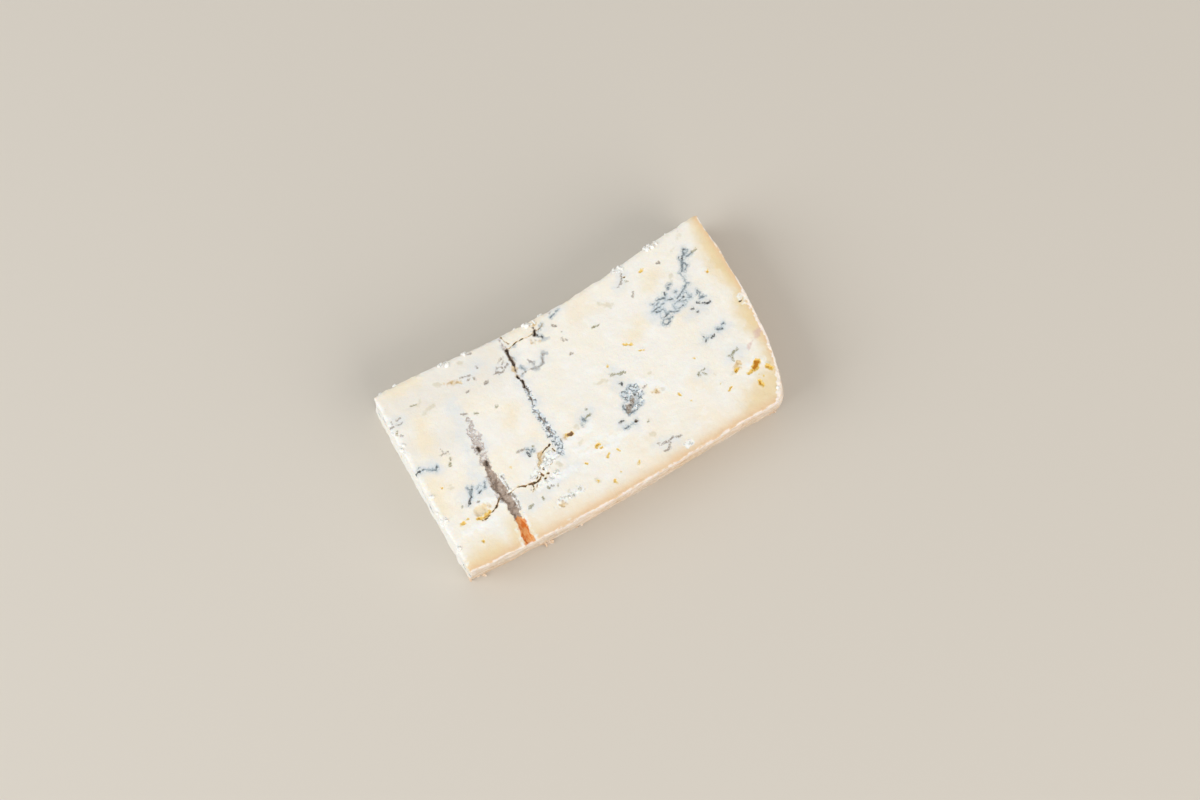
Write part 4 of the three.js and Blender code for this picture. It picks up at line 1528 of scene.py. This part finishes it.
def cheese_material(colours):
    """The whole block's material: paste, marks and rind, read from the mesh's own fields."""
    graph = Graph("cheese_paste")
    graph.raise_by(0.35, graph.noise(6.0, detail=3.0))
    graph.raise_by(0.2, graph.noise(1.8, detail=4.0, roughness=0.6))
    graph.raise_by(0.07, graph.noise(0.5, detail=2.0))
    tone = plain_paste(graph, colours)
    for marks in (broken_paste, blue_marks, speckle_marks, open_marks, rind_skin):
        tone = marks(graph, colours, tone)
    moist, dry = 0.42, 0.72
    roughness = graph.add("ShaderNodeMapRange")
    graph.feed(roughness.inputs["Value"], graph.noise(4.0, detail=4.0))
    roughness.inputs["To Min"].default_value = moist
    roughness.inputs["To Max"].default_value = dry
    return graph.finish(tone, roughness.outputs["Result"], subsurface=0.35)


def crumb_material(name, main, fleck):
    """Loose crumbs in one colour flecked with another."""
    graph = Graph(name)
    graph.raise_by(0.1, graph.noise(0.4, detail=3.0))
    tone = graph.blend(graph.patches(0.9, detail=3.0, levels=(0.42, 0.66)), main, fleck)
    return graph.finish(tone, roughness=0.8, subsurface=0.12)


class CrumbNodes(NodeTree):
    """Geometry nodes that scatter lumpy crumbs over a mesh where one of its fields asks for them."""

    INPUTS = (
        ("Density", "NodeSocketFloat"),
        ("Smallest", "NodeSocketFloat"),
        ("Largest", "NodeSocketFloat"),
        ("Flatness", "NodeSocketFloat"),
        ("Seed", "NodeSocketInt"),
        ("Material", "NodeSocketMaterial"),
    )

    # How much commoner small crumbs are than large ones, and the size and depth of the lumps on each
    SKEW = 2.2
    LUMP_SIZE = 0.9 * MM
    LUMP_DEPTH = 1.5 * MM

    def __init__(self, name, share_field):
        super().__init__(bpy.data.node_groups.new(name, "GeometryNodeTree"))
        face = self.tree.interface
        face.new_socket("Geometry", in_out="INPUT", socket_type="NodeSocketGeometry")
        self.identifiers = {}
        for label, kind in self.INPUTS:
            self.identifiers[label] = face.new_socket(label, in_out="INPUT", socket_type=kind).identifier
        face.new_socket("Geometry", in_out="OUTPUT", socket_type="NodeSocketGeometry")
        given = self.add("NodeGroupInput").outputs
        crumbs = self.lumpy(self.scattered(given, share_field))
        paint = self.chain("GeometryNodeSetMaterial", {"Geometry": crumbs, "Material": given["Material"]})
        self.feed(self.add("NodeGroupOutput").inputs["Geometry"], paint)

    def chain(self, kind, inputs, output=0, **settings):
        """Adds a node, feeds its inputs by name and gives one of its outputs."""
        node = self.add(kind, **settings)
        for label, value in inputs.items():
            self.feed(node.inputs[label], value)
        return node.outputs[output]

    def scattered(self, given, share_field):
        """Turned and flattened balls of random sizes where the field asks for them."""
        share = self.add("GeometryNodeInputNamedAttribute", data_type="FLOAT")
        share.inputs["Name"].default_value = share_field
        spots = self.chain("GeometryNodeDistributePointsOnFaces", {
            "Mesh": given["Geometry"],
            "Density": self.math("MULTIPLY", given["Density"], share.outputs["Attribute"]),
            "Seed": given["Seed"],
        }, "Points")
        draw = self.chain("FunctionNodeRandomValue", {"Seed": given["Seed"]}, 1, data_type="FLOAT")
        radius = self.chain("ShaderNodeMapRange", {
            "Value": self.math("POWER", draw, self.SKEW),
            "To Min": given["Smallest"],
            "To Max": given["Largest"],
        }, "Result")
        turn = self.add("FunctionNodeRandomValue", data_type="FLOAT_VECTOR")
        turn.inputs[1].default_value = (math.tau, math.tau, math.tau)
        self.feed(turn.inputs["Seed"], given["Seed"])
        balls = self.chain("GeometryNodeInstanceOnPoints", {
            "Points": spots,
            "Instance": self.chain("GeometryNodeMeshIcoSphere", {"Radius": 1.0, "Subdivisions": 2}, "Mesh"),
            "Rotation": turn.outputs[0],
            "Scale": self.chain("ShaderNodeCombineXYZ", {
                "X": radius,
                "Y": radius,
                "Z": self.math("MULTIPLY", radius, given["Flatness"]),
            }),
        })
        return self.chain("GeometryNodeRealizeInstances", {"Geometry": balls})

    def lumpy(self, balls):
        """The balls made lumpy and faceted, and kept above the floor."""
        noise = self.add("ShaderNodeTexNoise")
        noise.inputs["Scale"].default_value = 1 / self.LUMP_SIZE
        noise.inputs["Detail"].default_value = 3.0
        shift = self.centred(noise, self.LUMP_DEPTH)
        shaped = self.chain("GeometryNodeSetPosition", {"Geometry": balls, "Offset": shift})
        place = self.add("GeometryNodeInputPosition").outputs[0]
        above = self.vector_math("MAXIMUM", place, (-1.0, -1.0, 0.0))
        settled = self.chain("GeometryNodeSetPosition", {"Geometry": shaped, "Position": above})
        return self.chain("GeometryNodeSetShadeSmooth", {"Geometry": settled, "Shade Smooth": False})


def scattered_piece(name, source, nodes, values):
    """A new piece with the crumbs that the nodes scatter over the source's mesh."""
    piece = bpy.data.objects.new(name, source.data.copy())
    bpy.context.collection.objects.link(piece)
    modifier = piece.modifiers.new("Crumbs", "NODES")
    modifier.node_group = nodes.tree
    for label, value in values.items():
        modifier[nodes.identifiers[label]] = value
    graph = bpy.context.evaluated_depsgraph_get()
    mesh = bpy.data.meshes.new_from_object(piece.evaluated_get(graph))
    piece.modifiers.remove(modifier)
    piece.data = mesh
    mesh.name = name
    if not mesh.polygons:
        raise RuntimeError(f"{name} has no crumbs")
    return piece


def dress(piece):
    """Puts a piece on the block's body."""
    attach(piece, "root")


class GORGONZOLA_OT_block(Operator):
    """Builds the block of cheese with its relief and its material"""

    bl_idname = "gorgonzola.block"
    bl_label = "Add block"

    def execute(self, context):
        points, faces, fields = block_data(context.scene.gorgonzola_sizes)
        mesh = bpy.data.meshes.new("cheese_block")
        mesh.from_pydata(to_part_frame(points).tolist(), [], faces)
        for name, values in fields.items():
            attribute = mesh.attributes.new(name, "FLOAT", "POINT")
            attribute.data.foreach_set("value", values.astype(np.float32))
        mesh.polygons.foreach_set("use_smooth", np.ones(len(mesh.polygons), bool))
        mesh.set_sharp_from_angle(angle=SHARP_ANGLE)
        mesh.materials.append(cheese_material(context.scene.gorgonzola_colours))
        if mesh.validate():
            raise RuntimeError("the block's mesh is broken")
        piece = bpy.data.objects.new("cheese_block", mesh)
        context.collection.objects.link(piece)
        dress(piece)
        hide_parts(NODE)
        return {"FINISHED"}


class GORGONZOLA_OT_crumbs(Operator):
    """Scatters loose crumbs of paste and flakes of rind over the block's edges"""

    bl_idname = "gorgonzola.crumbs"
    bl_label = "Add crumbs"

    def execute(self, context):
        block = bpy.data.objects["cheese_block"]
        sizes = context.scene.gorgonzola_crumbs
        colours = context.scene.gorgonzola_colours
        per_square_metre = 1 / MM**2
        crumbs = scattered_piece("paste_crumbs", block, CrumbNodes("paste_crumbs", "crumb_share"), {
            "Density": sizes.density * per_square_metre,
            "Smallest": sizes.smallest,
            "Largest": sizes.largest,
            "Flatness": sizes.flatness,
            "Seed": sizes.seed,
            "Material": crumb_material("loose_paste", colours.crumb, colours.white),
        })
        flakes = scattered_piece("rind_flakes", block, CrumbNodes("rind_flakes", "flake_share"), {
            "Density": sizes.flake_density * per_square_metre,
            "Smallest": sizes.flake_smallest,
            "Largest": sizes.flake_largest,
            "Flatness": sizes.flake_flatness,
            "Seed": sizes.seed + 1,
            "Material": crumb_material("loose_rind", colours.rind, colours.rind_pale),
        })
        dress(crumbs)
        dress(flakes)
        return {"FINISHED"}


class Lamp(NamedTuple):
    """A square soft light: the setting that holds its power, its side and place in metres, and its tint."""

    name: str
    power: str
    side: float
    place: tuple
    tint: tuple


# What the lights and the camera point at
AIM = Vector((5.3, -3.5, 16.0)) * MM
LAMPS = (
    Lamp("key_light", "key_power", 1.8, place=(-1.9, 0.4, 1.4), tint=(0.95, 0.98, 1.0)),
    Lamp("fill_light", "fill_power", 2.4, place=(0.7, -1.9, 1.1), tint=(1.0, 0.97, 0.93)),
)
SKY_TINT = (1.0, 0.99, 0.98, 1.0)
FLOOR_ROUGH = 0.7
SENSOR_WIDTH = 36.0
NEAREST_SEEN = 0.01


def add_lamp(lamp, power):
    """Adds a light that shines at the aim."""
    light = bpy.data.lights.new(lamp.name, "AREA")
    light.energy = power
    light.size = lamp.side
    light.color = lamp.tint
    holder = bpy.data.objects.new(lamp.name, light)
    holder.location = lamp.place
    holder.rotation_euler = (AIM - Vector(lamp.place)).to_track_quat("-Z", "Y").to_euler()
    bpy.context.collection.objects.link(holder)


def floor_material(tone):
    """Matt pale floor."""
    material = bpy.data.materials.new("pale_floor")
    material.use_nodes = True
    shader = material.node_tree.nodes["Principled BSDF"]
    shader.inputs["Base Color"].default_value = tone
    shader.inputs["Roughness"].default_value = FLOOR_ROUGH
    return material


def add_floor(side, tone):
    """Adds a square floor around the part's origin."""
    half = side / 2
    corners = [(-half, -half, 0), (half, -half, 0), (half, half, 0), (-half, half, 0)]
    mesh = bpy.data.meshes.new("floor")
    mesh.from_pydata(corners, [], [(0, 1, 2, 3)])
    mesh.materials.append(floor_material(tone))
    floor = bpy.data.objects.new("floor", mesh)
    bpy.context.collection.objects.link(floor)


class GORGONZOLA_OT_stage(Operator):
    """Adds the floor, the soft light and the camera"""

    bl_idname = "gorgonzola.stage"
    bl_label = "Add stage"

    def execute(self, context):
        settings = context.scene.gorgonzola_stage
        add_floor(settings.floor_size, tuple(settings.floor))
        for lamp in LAMPS:
            add_lamp(lamp, getattr(settings, lamp.power))
        world = bpy.data.worlds.new("soft_room")
        world.use_nodes = True
        background = world.node_tree.nodes["Background"]
        background.inputs["Color"].default_value = SKY_TINT
        background.inputs["Strength"].default_value = settings.sky
        context.scene.world = world

        azimuth, elevation = settings.azimuth, settings.elevation
        level = math.cos(elevation)
        back = Vector((math.sin(azimuth) * level, -math.cos(azimuth) * level, math.sin(elevation)))
        lens = bpy.data.cameras.new("camera")
        lens.lens = settings.lens
        lens.sensor_width = SENSOR_WIDTH
        lens.clip_start = NEAREST_SEEN
        camera = bpy.data.objects.new("camera", lens)
        camera.location = AIM + back * settings.distance
        camera.rotation_euler = (-back).to_track_quat("-Z", "Y").to_euler()
        context.collection.objects.link(camera)
        context.scene.camera = camera
        context.scene.view_settings.view_transform = "Standard"
        return {"FINISHED"}


class GORGONZOLA_PT_panel(Panel):
    """Lists the steps that build the cheese"""

    bl_idname = "GORGONZOLA_PT_panel"
    bl_label = "Gorgonzola"
    bl_space_type = "VIEW_3D"
    bl_region_type = "UI"
    bl_category = "Gorgonzola"

    def draw(self, context):
        for operator in OPERATORS:
            self.layout.operator(operator.bl_idname)
        for group in SETTINGS:
            settings = getattr(context.scene, group)
            for name in settings.__annotations__:
                self.layout.prop(settings, name)


OPERATORS = (GORGONZOLA_OT_block, GORGONZOLA_OT_crumbs, GORGONZOLA_OT_stage)
SETTINGS = {
    "gorgonzola_sizes": BlockSizes,
    "gorgonzola_colours": PasteColours,
    "gorgonzola_crumbs": CrumbSizes,
    "gorgonzola_stage": StageSettings,
}
CLASSES = (*SETTINGS.values(), *OPERATORS, GORGONZOLA_PT_panel)


def register():
    """Registers the classes and puts their settings on the scene."""
    for cls in CLASSES:
        bpy.utils.register_class(cls)
    for name, group in SETTINGS.items():
        setattr(bpy.types.Scene, name, PointerProperty(type=group))


def unregister():
    """Takes the settings off the scene and unregisters the classes."""
    for name in SETTINGS:
        delattr(bpy.types.Scene, name)
    for cls in reversed(CLASSES):
        bpy.utils.unregister_class(cls)


def main():
    """Builds the cheese and its stage."""
    register()
    bpy.ops.gorgonzola.block()
    bpy.ops.gorgonzola.crumbs()
    bpy.ops.gorgonzola.stage()
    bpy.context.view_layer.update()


if __name__ == "__main__":
    main()
